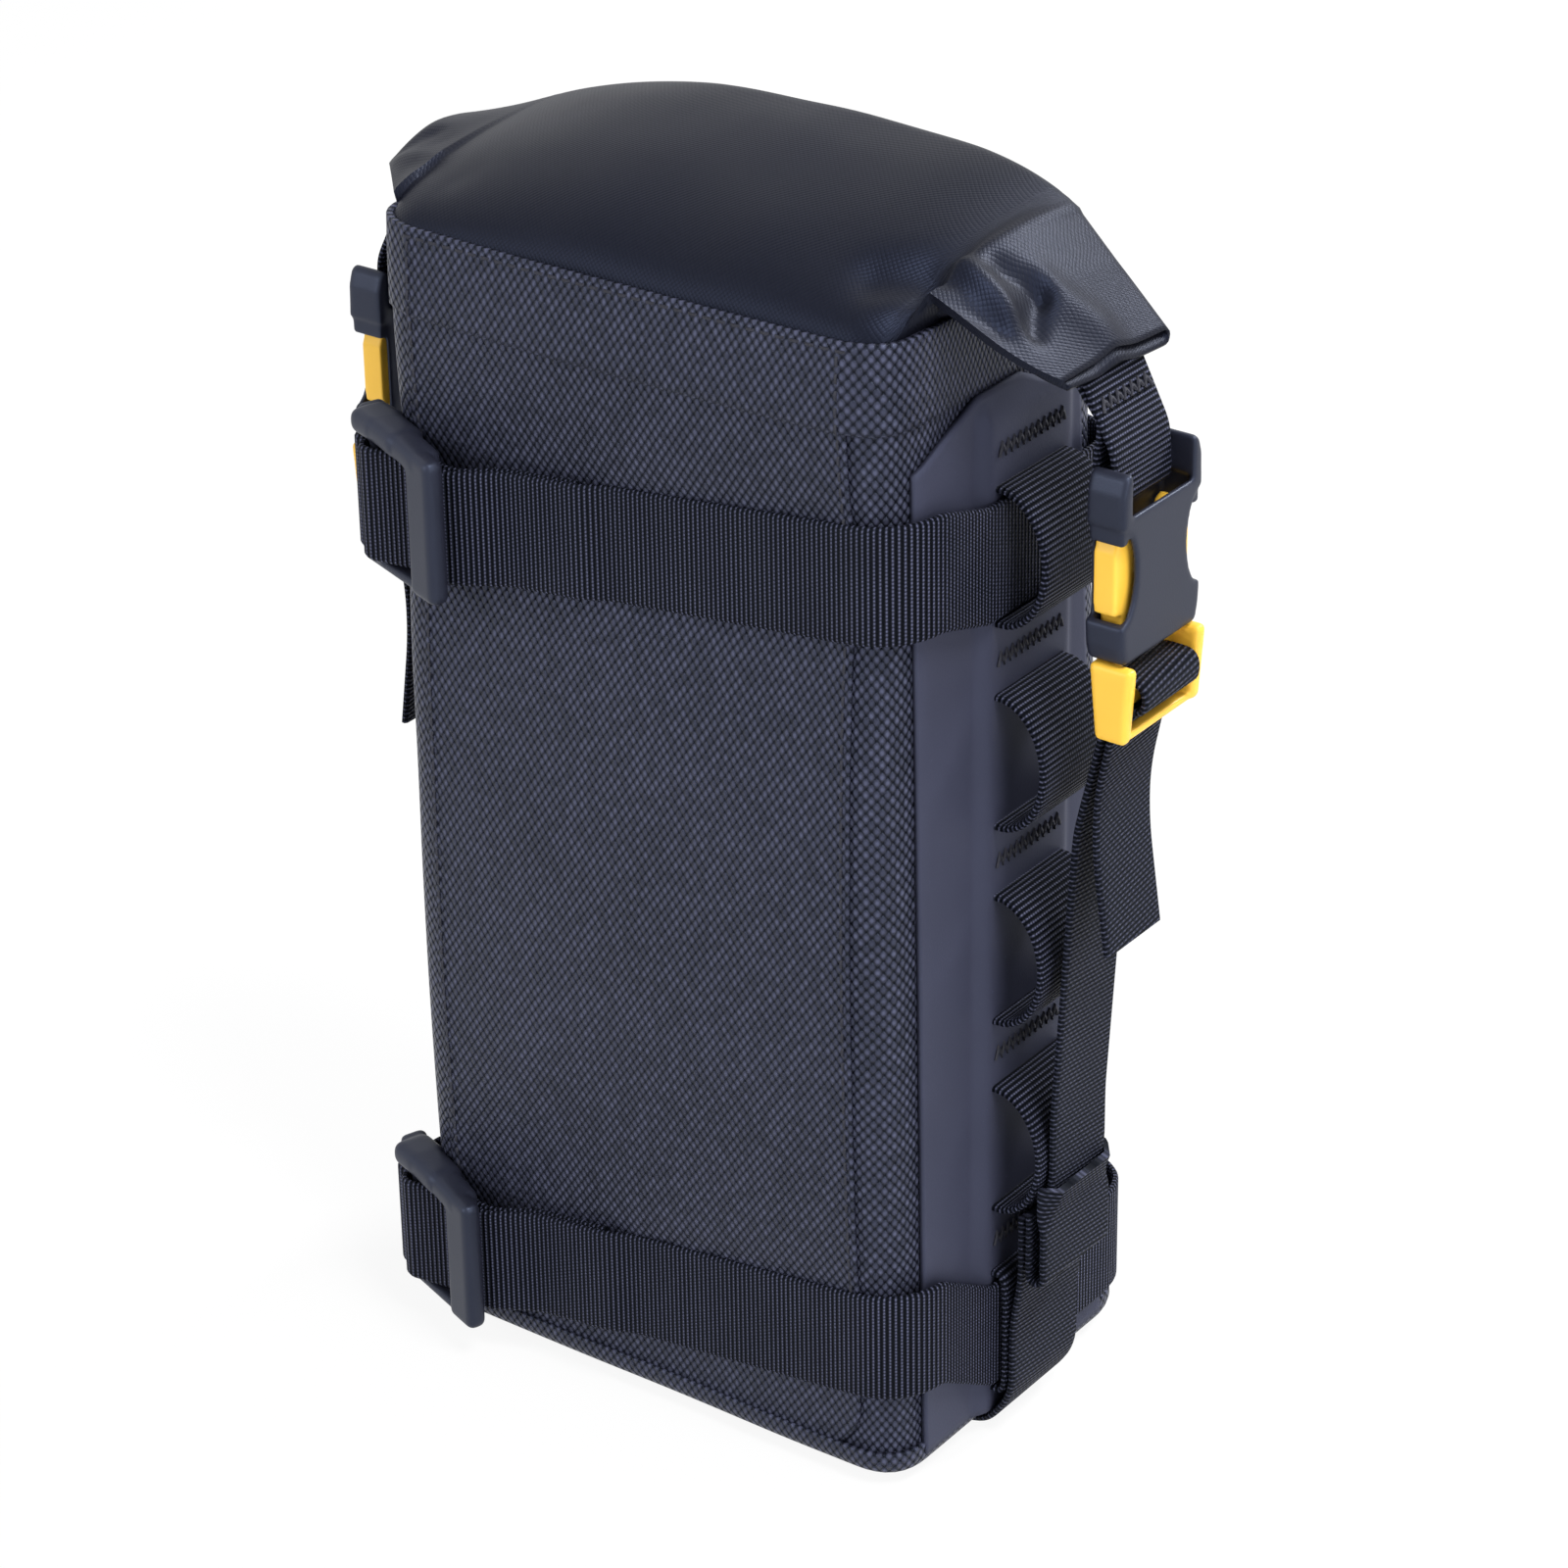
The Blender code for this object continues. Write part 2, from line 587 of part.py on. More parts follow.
def build_roll_strap(sign):
    """Sewn to the stiffener, out of the roll's end and back round the socket's bar."""
    inner = SOCKET_BAR_X - SOCKET_BAR_HALF - LIFT
    outer = SOCKET_BAR_X + SOCKET_BAR_HALF + LIFT
    run = [(x, roll_middle(x)) for x in steps_between(STIFFENER_HALF + GAP, ROLL_HALF, 3)]
    x, z = run[-1]
    under = SOCKET_BAR_Z - LIFT
    turn_z = z + (outer - x) * roll_slope(x)
    sewn = outer - PLY
    bend = [run[-1], (outer, turn_z), (outer, under), (inner, under), (inner, SOCKET_TOP),
            (sewn, SOCKET_TOP + 2 * WEB), (sewn, turn_z - WEB)]
    strap_across(side_name(sign, "roll_strap"), run[:-1] + round_corners(bend, BAR_BEND, 4), NARROW_WEB, sign)


def build_buckle_strap(sign):
    """From the anchor up the side, round the plug's bar, and its hanging tail."""
    outer = PLUG_BAR_X + PLUG_BAR_HALF + LIFT
    over, under = PLUG_BAR_TOP + LIFT, PLUG_BAR_Z - LIFT
    low = LOWEST_CREST + ANCHOR_OUT + 2 * PLY
    bend_z = ANCHOR_FOOT + PLY
    points = [(low, ANCHOR_BOTTOM + LIFT), (low, bend_z), (LOOP_CREST, ANCHOR_TOP),
              (LOOP_CREST, ANCHOR_TOP + LOOP_HALF), BOW, (STAND_X, PLUG_BOTTOM), (STAND_X, over),
              (outer, over), (outer, under), (TAIL_X, under), (TAIL_X, TAIL_TOP + GAP)]
    strap_across(side_name(sign, "buckle_strap"), round_corners(points, BAR_BEND, 4), NARROW_WEB, sign)
    sag = TAIL_X - TAIL_SAG
    hang = [(TAIL_X, 0.0), (sag, TAIL_SAG_AT[0]), (sag, TAIL_SAG_AT[1]), (TAIL_X, 1.0)]
    hem = [(x, TAIL_TOP - share * TAIL_LENGTH) for x, share in hang]
    tail = strap_across(side_name(sign, "strap_tail"), round_corners(hem, TAIL_LENGTH, 4), NARROW_WEB, sign)
    put_origin(tail, (sign * (TAIL_X + WEB / 2), SIDE_LINE_Y, TAIL_TOP))


def build_anchor_tape(sign):
    """Tape folded round the lower end of the buckle strap."""
    near = LOWEST_CREST + ANCHOR_OUT + PLY
    far = near + 2 * PLY
    bottom = ANCHOR_BOTTOM - WEB / 2
    fold = [(near, ANCHOR_FOOT + WEB), (near, bottom), (far, bottom), (far, ANCHOR_FOOT + WEB),
            (LOOP_CREST + PLY, ANCHOR_TOP - WEB)]
    strap_across(side_name(sign, "anchor_tape"), round_corners(fold, FOLD_BEND, 4), WEB_WIDTH, sign)


def build_base_strap():
    corner = PATCH_FACE - PLY
    crest = LOWEST_CREST
    top = crest + ANCHOR_OUT
    low, high = LOOP_FIRST_Z - LOOP_HALF, LOOP_FIRST_Z + LOOP_HALF / 4
    right = [(0.0, WEB / 2), (corner, WEB / 2), (crest, low), (crest, high), (top, ANCHOR_BOTTOM),
             (top, ANCHOR_FOOT)]
    path = round_corners(right, END_BEND, 5)
    left = [(-x, z) for x, z in reversed(path[1:])]
    strap_across("base_strap", left + path, WEB_WIDTH)


def lock_frame():
    """Origin and the two directions of the ladder locks, round the left front corner."""
    angle = math.radians(LOCK_ANGLE)
    out = (-math.sin(angle), -math.cos(angle))
    right = (math.cos(angle), -math.sin(angle))
    centre = (-(BODY_WIDTH / 2 - CORNER_RADIUS), FRONT_Y + CORNER_RADIUS)
    origin = (centre[0] + CORNER_RADIUS * out[0] + LOCK_SHIFT * right[0],
              centre[1] + CORNER_RADIUS * out[1] + LOCK_SHIFT * right[1])
    return origin, right, out


def on_lock(point):
    origin, right, out = lock_frame()
    return (origin[0] + point[0] * right[0] + point[1] * out[0],
            origin[1] + point[0] * right[1] + point[1] * out[1])


def strap_height(x, y, middle, tilt, drop):
    """Height of a wrap strap's middle line: level in the loops, sloping across the front."""
    share = max(0.0, min(1.0, (LOOP_EDGE_Y - y) / LEVEL_RUN))
    return middle + share * (tilt * max(x, TILT_END_X) + drop)


def build_wrap_strap(level, middle, tilt, drop):
    side = PATCH_FACE + LIFT
    front = FRONT_Y - LIFT
    back = BACK_Y + LIFT

    def place(point, half):
        x, y = point
        z = strap_height(x, y, middle, tilt, drop) + half
        return (x, lean(y, z), z)

    width = (-HALF_WEB, HALF_WEB)
    wrap = circle(on_lock(FIXED_BAR), FIXED_BAR_HALF * ROUND_BAR + LIFT, *FIXED_WRAP, 9)
    turn_y = FRONT_Y + CORNER_RADIUS
    run = [(STRAP_SPLIT_X + GAP, front), (side, front), (side, LOOP_EDGE_Y), (side, back), (-side, back),
           (-side, LOOP_EDGE_Y), (-side + LIFT, turn_y - LIFT), wrap[0]]
    path = round_corners(run, STRAP_BEND, 6) + wrap[1:]
    path.append((-side - LIFT, turn_y + LIFT))
    sheet(level + "_wrap_strap", path, width, WEB, place)

    over = front - PLY
    wrap = [on_lock(p) for p in circle(THREAD_BAR, THREAD_BAR_HALF * ROUND_BAR + LIFT, *THREAD_WRAP, 8)]
    under = PRESS_BAR_UNDER - LIFT
    near, far = PRESS_BAR
    first = [(STRAP_SPLIT_X, front), (STRAP_SPLIT_X - 2 * WEB, front), (TAIL_END_X + WEB, over),
             (LIFT_OFF_X, over), on_lock((far, under)), on_lock((near - LIFT, under)), wrap[0]]
    last = [wrap[-1], on_lock((near - 2 * PLY, LIFT)), on_lock((far, LIFT)), (LIFT_OFF_X, front),
            (TAIL_END_X, front)]
    path = round_corners(first, END_BEND, 3) + wrap[1:-1] + round_corners(last, END_BEND, 3)
    sheet(level + "_strap_end", path, width, WEB, place)


def build_lock(level, middle, tilt, drop):
    """Ladder lock: two rails carrying a press bar, a thread bar and a fixed bar."""
    fu, fv = FIXED_BAR
    tu, tv = THREAD_BAR
    f, t = FIXED_BAR_HALF, THREAD_BAR_HALF
    near, far = PRESS_BAR
    low, high = PRESS_BAR_UNDER, PRESS_BAR_UNDER + PRESS_BAR_THICK
    outline = [(fu - f, fv - f), (fu + f, fv - f), (tu - t, tv - t), (tu + t, tv - t), (near, low),
               (far, low), (far, high - LOCK_NOSE), (far - LOCK_NOSE, high), (near, high), (tu + t, tv + t),
               (tu - t, tv + t), (fu + f, fv + f), (fu - f, fv + f)]
    z = strap_height(TILT_END_X, FRONT_Y, middle, tilt, drop)
    lock = prism(level + "_ladder_lock", [[on_lock(p) for p in outline]], "Z",
                 z - LOCK_HALF_HEIGHT, z + LOCK_HALF_HEIGHT)
    past = 2 * high
    windows = []
    for start, end in ((fu + f, tu - t), (tu + t, near)):
        window = [(start, -past), (end, -past), (end, past), (start, past)]
        windows.append([on_lock(p) for p in window])
    put_origin(lock, (*on_lock(FIXED_BAR), z))
    cut(lock, prism(level + "_lock_windows", windows, "Z", z - WEB_WINDOW, z + WEB_WINDOW, cutter=True))


def mirrored(outline, sign):
    return [(sign * y, z) for y, z in outline]


def shifted(outline):
    return [(SIDE_LINE_Y + y, z) for y, z in outline]


def box(y0, z0, y1, z1):
    return shifted([(y0, z0), (y1, z0), (y1, z1), (y0, z1)])


def notch_outline(sign):
    edge = SOCKET_HALF + GAP
    past = edge + NOTCH_DEPTH
    points = []
    for angle in steps_between(90, 270, 10):
        c, s = math.cos(math.radians(angle)), math.sin(math.radians(angle))
        points.append((edge + (NOTCH_DEPTH + GAP) * c, NOTCH_Z + NOTCH_HALF * s))
    points.append((past, NOTCH_Z - NOTCH_HALF))
    points.append((past, NOTCH_Z + NOTCH_HALF))
    return shifted(mirrored(points, sign))


def slab(name, outlines, sign, low, high, cutter=False):
    """Outlines in the YZ plane, extruded between two distances outward of the buckle's middle."""
    first, last = sorted((sign * (BUCKLE_X + low), sign * (BUCKLE_X + high)))
    return prism(name, outlines, "X", first, last, cutter)


def carve(obj, name, outlines, sign, low, high):
    cut(obj, slab(obj.name + "_" + name, outlines, sign, low, high, cutter=True))


def build_socket(sign):
    half = SOCKET_HALF
    edge = SOCKET_EDGE
    bottom, top = SOCKET_BOTTOM, SOCKET_TOP
    right = [(half - edge, bottom), (half, bottom + 4 * edge), (half, top - 4 * edge),
             (half - edge, top - edge), (half - 2 * edge, top)]
    outline = right + mirrored(reversed(right), -1)
    past = BUCKLE_THICK
    socket = slab(side_name(sign, "buckle_socket"), [shifted(outline)], sign, -past / 2, past / 2)
    bevel = socket.modifiers.new("edges", "BEVEL")
    bevel.width = SOCKET_EDGE * MM
    bevel.segments = 2
    bevel.limit_method = "ANGLE"
    bevel.angle_limit = math.radians(50)
    room = PRONG_THICK / 2 + GAP
    cavity = [box(-CAVITY_HALF, SOCKET_BOTTOM - past, CAVITY_HALF, SOCKET_BAR_Z)]
    carve(socket, "cavity", cavity, sign, -room, room)
    carve(socket, "notches", [notch_outline(1), notch_outline(-1)], sign, -past, past)
    inner, outer = -SOCKET_BAR_IN - SOCKET_BAR_HALF, -SOCKET_BAR_IN + SOCKET_BAR_HALF
    side = NARROW_WINDOW
    under = SOCKET_BAR_Z - WEB_SLOT - WEB
    carve(socket, "window", [box(-side, under, side, SOCKET_BAR_Z)], sign, -past, outer)
    carve(socket, "throat", [box(-side, SOCKET_LIP, side, SOCKET_TOP + past)], sign, outer, past)
    carve(socket, "relief", [box(-side, under, side, SOCKET_TOP + past)], sign, -past, inner)
    carve(socket, "saddle", [box(-side, SOCKET_BAR_TOP, side, SOCKET_TOP + past)], sign, -past, past)


def build_plug(sign):
    half = SOCKET_HALF
    edge = SOCKET_EDGE
    stem = STEM_HALF
    outline = [(-half, PLUG_BOTTOM + edge), (edge - half, PLUG_BOTTOM), (half - edge, PLUG_BOTTOM),
               (half, PLUG_BOTTOM + edge), (half, PLUG_TOP), (stem, PLUG_TOP), (stem, STEM_TOP - edge),
               (stem - edge, STEM_TOP), (edge - stem, STEM_TOP), (-stem, STEM_TOP - edge), (-stem, PLUG_TOP),
               (-half, PLUG_TOP)]
    plug = slab(side_name(sign, "buckle_plug"), [shifted(outline)], sign, -PLUG_IN, PLUG_OUT)
    keep = PRONG_THICK / 2
    past = BUCKLE_THICK
    above = [box(-half - past, PLUG_TOP, half + past, STEM_TOP + past)]
    carve(plug, "thin_in", above, sign, -past, -keep)
    carve(plug, "thin_out", above, sign, keep, past)
    pocket = [(ROOT_Y - ROOT_RADIUS - PRONG_SIDE, ROOT_Z - ROOT_RADIUS - GAP),
              (ROOT_Y + ROOT_RADIUS + GAP, ROOT_Z - ROOT_RADIUS - GAP),
              (ROOT_Y + ROOT_RADIUS + GAP, ROOT_Z + past), (ROOT_Y - ROOT_RADIUS - PRONG_SIDE, ROOT_Z + past)]
    carve(plug, "pockets", [shifted(pocket), shifted(mirrored(pocket, -1))], sign, -keep - GAP, keep + GAP)
    side = NARROW_WINDOW
    inner, outer = PLUG_BAR_OUT - PLUG_BAR_HALF, PLUG_BAR_OUT + PLUG_BAR_HALF
    carve(plug, "upper_slot", [box(-side, PLUG_BAR_TOP, side, PLUG_BAR_TOP + WEB_SLOT)], sign, -past, past)
    carve(plug, "lower_slot", [box(-side, GRIP_TOP, side, PLUG_BAR_Z)], sign, -past, past)
    carve(plug, "relief_out", [box(-side, GRIP_TOP, side, PLUG_BAR_TOP + WEB_SLOT)], sign, outer, past)
    behind = box(-side, PLUG_BOTTOM - past, side, PLUG_BAR_TOP + WEB_SLOT)
    carve(plug, "relief_in", [behind], sign, -past, inner)
    tail_face = TAIL_X + LIFT - BUCKLE_X
    carve(plug, "tail_room", [box(-side, PLUG_BOTTOM - past, side, PLUG_BAR_Z)], sign, -past, tail_face)
    low = PLUG_BOTTOM - edge
    for name, face, way in (("taper_in", -PLUG_IN, 1), ("taper_out", PLUG_OUT, -1)):
        wedge = [(face - way * past, PLUG_BAR_TOP), (face, PLUG_BAR_TOP), (face + way * PLUG_TAPER, low),
                 (face - way * past, low)]
        points = [(sign * (BUCKLE_X + x), z) for x, z in wedge]
        ends = (SIDE_LINE_Y - half - edge, SIDE_LINE_Y + half + edge)
        cut(plug, prism(plug.name + "_" + name, [points], "Y", *ends, cutter=True))


def build_prong(sign, end):
    """One sprung arm of the plug; its pad fills the socket's notch."""
    root = circle((ROOT_Y, ROOT_Z), ROOT_RADIUS, 180, 360, 8)
    inner = ROOT_Y - ROOT_RADIUS
    outer = ROOT_Y + ROOT_RADIUS
    edge = SOCKET_EDGE
    outline = root + [(outer, HEAD_BOTTOM), (SOCKET_HALF - edge, HEAD_BOTTOM + edge / 2),
                      (SOCKET_HALF, HEAD_BOTTOM + 3 * edge), (SOCKET_HALF, HEAD_TOP - 4 * edge),
                      (SOCKET_HALF - 2 * edge, HEAD_TOP - edge), (SOCKET_HALF - 4 * edge, HEAD_TOP),
                      (inner + 2 * edge, HEAD_TOP - edge), (inner, HEAD_TOP - 5 * edge)]
    name = side_name(sign, "prong_front" if end < 0 else "prong_back")
    keep = PRONG_THICK / 2
    prong = slab(name, [shifted(mirrored(outline, end))], sign, -keep, keep)
    put_origin(prong, (sign * BUCKLE_X, SIDE_LINE_Y + end * ROOT_Y, ROOT_Z))


def build():
    for obj in list(bpy.data.objects):
        bpy.data.objects.remove(obj, do_unlink=True)
    frame = bpy.data.objects.new("saddle_bag_frame", None)
    collection("saddle_bag").objects.link(frame)
    build_body()
    build_base()
    build_collar()
    build_roll()
    build_base_strap()
    for sign in (1, -1):
        build_patch(sign)
        build_daisy_chain(sign)
        build_roll_strap(sign)
        build_buckle_strap(sign)
        build_anchor_tape(sign)
        build_socket(sign)
        build_plug(sign)
        for end in (-1, 1):
            build_prong(sign, end)
    heights = loop_heights()
    build_wrap_strap("upper", heights[-1], UPPER_TILT, UPPER_DROP)
    build_lock("upper", heights[-1], UPPER_TILT, UPPER_DROP)
    build_wrap_strap("lower", heights[0], LOWER_TILT, LOWER_DROP)
    build_lock("lower", heights[0], LOWER_TILT, LOWER_DROP)


build()
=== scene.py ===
"""Looks of the roll-top saddle bag: cloth, rubber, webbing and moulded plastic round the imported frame.

Sizes are millimetres in the frame's axes and become metres in finish_piece(). +Z is up and the bag's
front faces -Y. Every cloth, rubber and webbing piece carries a UV map in millimetres of its own surface.
"""
import math

import bmesh
import bpy
from mathutils import Matrix, Vector, noise


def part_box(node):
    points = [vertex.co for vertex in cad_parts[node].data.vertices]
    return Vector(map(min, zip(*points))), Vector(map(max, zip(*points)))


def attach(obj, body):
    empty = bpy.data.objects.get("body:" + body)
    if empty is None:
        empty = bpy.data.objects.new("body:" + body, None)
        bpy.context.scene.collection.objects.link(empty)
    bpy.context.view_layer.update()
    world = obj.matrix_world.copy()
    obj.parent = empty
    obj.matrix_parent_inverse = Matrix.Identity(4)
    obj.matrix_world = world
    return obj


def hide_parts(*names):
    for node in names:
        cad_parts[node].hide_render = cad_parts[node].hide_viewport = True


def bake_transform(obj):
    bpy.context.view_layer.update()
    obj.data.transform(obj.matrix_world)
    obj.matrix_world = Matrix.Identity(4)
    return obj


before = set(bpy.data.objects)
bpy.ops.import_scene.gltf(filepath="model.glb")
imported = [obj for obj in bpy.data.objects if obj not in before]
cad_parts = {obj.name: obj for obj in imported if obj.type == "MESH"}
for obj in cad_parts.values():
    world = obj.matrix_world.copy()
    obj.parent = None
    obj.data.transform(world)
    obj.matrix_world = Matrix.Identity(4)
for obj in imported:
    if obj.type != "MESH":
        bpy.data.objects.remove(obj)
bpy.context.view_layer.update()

MM = 0.001


def span(node):
    """Lowest and highest corner of a frame node, in millimetres."""
    low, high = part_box(node)
    return low / MM, high / MM


# Sizes read from the frame
BODY_HALF = span("right_gusset")[1].x
FRONT_Y = span("front_panel")[0].y
BACK_Y = span("bottom_panel")[1].y
RIM_Z = span("front_panel")[1].z
PATCH_LOW, PATCH_HIGH = span("right_side_patch")
CHAIN_LOW, CHAIN_HIGH = span("right_daisy_chain")
ROLL_LOW, ROLL_HIGH = span("rolled_mouth")
SOCKET_LOW, SOCKET_HIGH = span("right_buckle_socket")
PLUG_LOW, PLUG_HIGH = span("right_buckle_plug")
TAIL_LOW, TAIL_HIGH = span("right_strap_tail")
ANCHOR_LOW, ANCHOR_HIGH = span("right_anchor_tape")
BASE_HIGH = span("base_strap")[1]
SIDE_Y = (CHAIN_LOW.y + CHAIN_HIGH.y) / 2
WEB_WIDTH = CHAIN_HIGH.y - CHAIN_LOW.y
NARROW_WEB = TAIL_HIGH.y - TAIL_LOW.y

# The two sides: sign along X, and word in the frame's names
SIDES = {1: "right", -1: "left"}

# Body of the bag
BACK_LEAN = 0.056
LEAN_INSET = 3.0
CORNER = 10.0
BASE_ROUND = 6.0
SEAM_X = 54.0
PANEL_FOOT = 5.0
PANEL_CORNER = 13.0
PANEL_LIFT = 0.75
BAND_DROP = 18.0
BAND_LIFT = 0.55
FRONT_SWELL = 4.4
TOP_SWELL = 3.4
RIPPLE = 0.35
RIPPLE_SCALE = 0.03

# Stitches: pitch, ends within it, section, and where the hem and the seams run
STITCH = 3.4
STITCH_ENDS = (0.3, STITCH - 0.7)
STITCH_WIDE = 0.55
STITCH_HIGH = 0.4
HEM_DROP = 1.4
SEAM_DROP = 2.0
SEAM_INSET = 1.6
SEAM_SHORT = 30.0
THREAD_RADIUS = 0.42

# Webbing
WEB = 1.5
GAP = 0.3
LIFT = GAP + WEB / 2
CURL_RUN = 10.0
PLY = WEB + GAP
LOOP_PITCH = 45.0
LOOP_HEIGHTS = [25.2 + LOOP_PITCH * i for i in range(5)]
LOOP_HALF = 14.5
LOOP_ROOT_X = PATCH_HIGH.x + 0.7
LOOP_REACH = 10.5
LOWEST_REACH = 2.6

# Wrap straps: middle height in the loops, rise per millimetre to the right, and shift at the front
UPPER = (LOOP_HEIGHTS[-1], 0.11, -3.0)
LOWER = (LOOP_HEIGHTS[0], 0.12, 2.5)
LEVEL_Y = SIDE_Y - WEB_WIDTH / 2 - 1.0
LEVEL_RUN = 18.0
TILT_END_X = -40.0

# Camera, from the photograph's perspective
CAMERA_AT = (551.66, -736.75, 609.75)
CAMERA_RIGHT = (0.8064, 0.5911, -0.0144)
CAMERA_UP = (-0.2632, 0.3807, 0.8865)
CAMERA_LENS = 113.0134
SENSOR = 36.0


# Shader maths

class Wire:
    """A node's output that takes part in Python sums."""

    def __init__(self, finish, socket):
        self.finish = finish
        self.socket = socket

    def math(self, operation, *values):
        return self.finish.node("ShaderNodeMath", {"operation": operation}, values)

    def __add__(self, other):
        return self.math("ADD", self, other)

    __radd__ = __add__

    def __sub__(self, other):
        return self.math("SUBTRACT", self, other)

    def __rsub__(self, other):
        return self.math("SUBTRACT", other, self)

    def __mul__(self, other):
        return self.math("MULTIPLY", self, other)

    __rmul__ = __mul__

    def __truediv__(self, other):
        return self.math("DIVIDE", self, other)

    def __pow__(self, other):
        return self.math("POWER", self, other)

    def floor(self):
        return self.math("FLOOR", self)

    def fraction(self):
        return self.math("FRACT", self)

    def sine(self):
        return self.math("SINE", self)

    def size(self):
        return self.math("ABSOLUTE", self)

    def at_least(self, other):
        return self.math("MAXIMUM", self, other)

    def at_most(self, other):
        return self.math("MINIMUM", self, other)

    def more_than(self, other):
        return self.math("GREATER_THAN", self, other)


class Shading:
    """The nodes of one shader tree, made and joined by a single method."""

    def __init__(self, tree):
        self.tree = tree

    def node(self, kind, settings=None, values=(), output=0):
        made = self.tree.nodes.new(kind)
        for key, value in (settings or {}).items():
            setattr(made, key, value)
        pairs = values.items() if isinstance(values, dict) else enumerate(values)
        for key, value in pairs:
            if isinstance(value, Wire):
                self.tree.links.new(value.socket, made.inputs[key])
            else:
                made.inputs[key].default_value = value
        return Wire(self, made.outputs[output])

    def seen(self):
        """1 for rays that show a surface straight, in a mirror or through glass, and 0 for its light."""
        straight = self.node("ShaderNodeLightPath", output="Is Camera Ray")
        rays = straight.socket.node.outputs
        mirrored, through = (Wire(self, rays[name]) for name in ("Is Glossy Ray", "Is Transmission Ray"))
        return (straight + mirrored + through).at_most(1.0)


class Finish(Shading):
    """A procedural material with one Principled shader; the name of its material slot is kept but not used.
    """

    def __init__(self, name, slot, **constants):
        self.slot = slot
        self.material = bpy.data.materials.new(name)
        self.material.use_nodes = True
        super().__init__(self.material.node_tree)
        self.shader = self.tree.nodes["Principled BSDF"]
        for socket, value in constants.items():
            self.shader.inputs[socket.replace("_", " ")].default_value = value

    def chart(self):
        """Distances in millimetres across and along the piece's own surface."""
        place = self.node("ShaderNodeTexCoord", output="UV")
        split = self.node("ShaderNodeSeparateXYZ", None, [place])
        along = Wire(self, split.socket.node.outputs["Y"])
        return split, along

    def cloud(self, scale, detail=3.0):
        """Soft noise in the piece's own space."""
        where = self.node("ShaderNodeTexCoord", output="Object")
        return self.node("ShaderNodeTexNoise", None, {"Vector": where, "Scale": scale, "Detail": detail})

    def mix(self, share, first, last):
        settings = {"data_type": "RGBA"}
        made = self.node("ShaderNodeMix", settings, {0: share, 6: first, 7: last})
        return Wire(self, made.socket.node.outputs[2])

    def bump(self, height, depth):
        values = {"Strength": 1.0, "Distance": depth * MM, "Height": height}
        return self.node("ShaderNodeBump", None, values)

    def give(self, **wires):
        for socket, wire in wires.items():
            self.tree.links.new(wire.socket, self.shader.inputs[socket.replace("_", " ")])
        return self


# Colours of lights and sheens, and the weaves' pitches across and along
WHITE = (1.0, 1.0, 1.0, 1.0)
BLUISH = (0.56, 0.68, 1.0, 1.0)
SHEEN = (0.46, 0.58, 1.0, 1.0)
COARSE_WEAVE = (1.92, 2.64)
FINE_WEAVE = (1.05, 1.25)


def slate(level):
    """The blue-grey of black cloth in white light."""
    return (level, level * 1.06, level * 1.75, 1.0)


def plain_weave(finish, wide, tall):
    """Yarn crowns of a plain weave, set like the squares of one colour on a chessboard.

    Gives 1 on a crown and 0 in the pits between four crowns, and a chance number for each crown.
    """
    across, up = finish.chart()
    crowns, chances = [], []
    for shift in (0.0, 0.5):
        a, b = across / wide + shift, up / tall + shift
        x, y = a.fraction() - 0.5, b.fraction() - 0.5
        crowns.append(1.0 - (x * x + y * y) * 4.0)
        cell = finish.node("ShaderNodeCombineXYZ", None, [a.floor(), b.floor(), shift])
        chances.append(finish.node("ShaderNodeTexWhiteNoise", {"noise_dimensions": "3D"}, {"Vector": cell}))
    second = crowns[1].more_than(crowns[0])
    crown = crowns[0].at_least(crowns[1]).at_least(0.0)
    return crown, chances[0] * (1.0 - second) + chances[1] * second


def coated_fabric():
    """Coarse plain weave under a matt coating; its pits are painted darker as shade and its crowns lighter,
    with a painted glint on some crowns.
    """
    finish = Finish("coarse_coated_weave", "coated_fabric", Specular_IOR_Level=0.26, Specular_Tint=BLUISH)
    crown, chance = plain_weave(finish, *COARSE_WEAVE)
    full = crown * (2.0 - crown)
    wear = finish.cloud(22.0)
    # Painted light and tone: the pits between crowns are painted darker as shade and the crowns lighter, with
    # random tone per crown and in soft patches.
    painted_light_and_tone = crown * 1.1 + chance * 0.25 + wear * 0.3 - 0.5
    # Painted glint: the tops of some crowns are painted lighter as a highlight.
    painted_glint = ((crown - 0.78) * 4.5).at_least(0.0) * chance * 0.4
    colour = finish.mix(painted_glint, finish.mix(painted_light_and_tone, slate(0.001), slate(0.04)), slate(0.12))
    rough = 0.64 - full * 0.3 + chance * 0.1
    return finish.give(Base_Color=colour, Roughness=rough, Normal=finish.bump(full, 1.1))


def coated_cloth():
    """Fine plain weave with a smooth satin coating."""
    finish = Finish("fine_coated_cloth", "coated_cloth", Specular_IOR_Level=0.17, Specular_Tint=SHEEN)
    crown, chance = plain_weave(finish, *FINE_WEAVE)
    wear = finish.cloud(16.0)
    # Painted light and tone: the gaps between the fine crowns are painted a little darker as shade, with
    # random tone per crown and in soft patches.
    painted_light_and_tone = crown * 0.3 + chance * 0.12 + wear * 0.5 - 0.1
    colour = finish.mix(painted_light_and_tone, slate(0.002), slate(0.010))
    rough = 0.40 + wear * 0.16 - crown * 0.05
    return finish.give(Base_Color=colour, Roughness=rough, Normal=finish.bump(crown, 0.06))


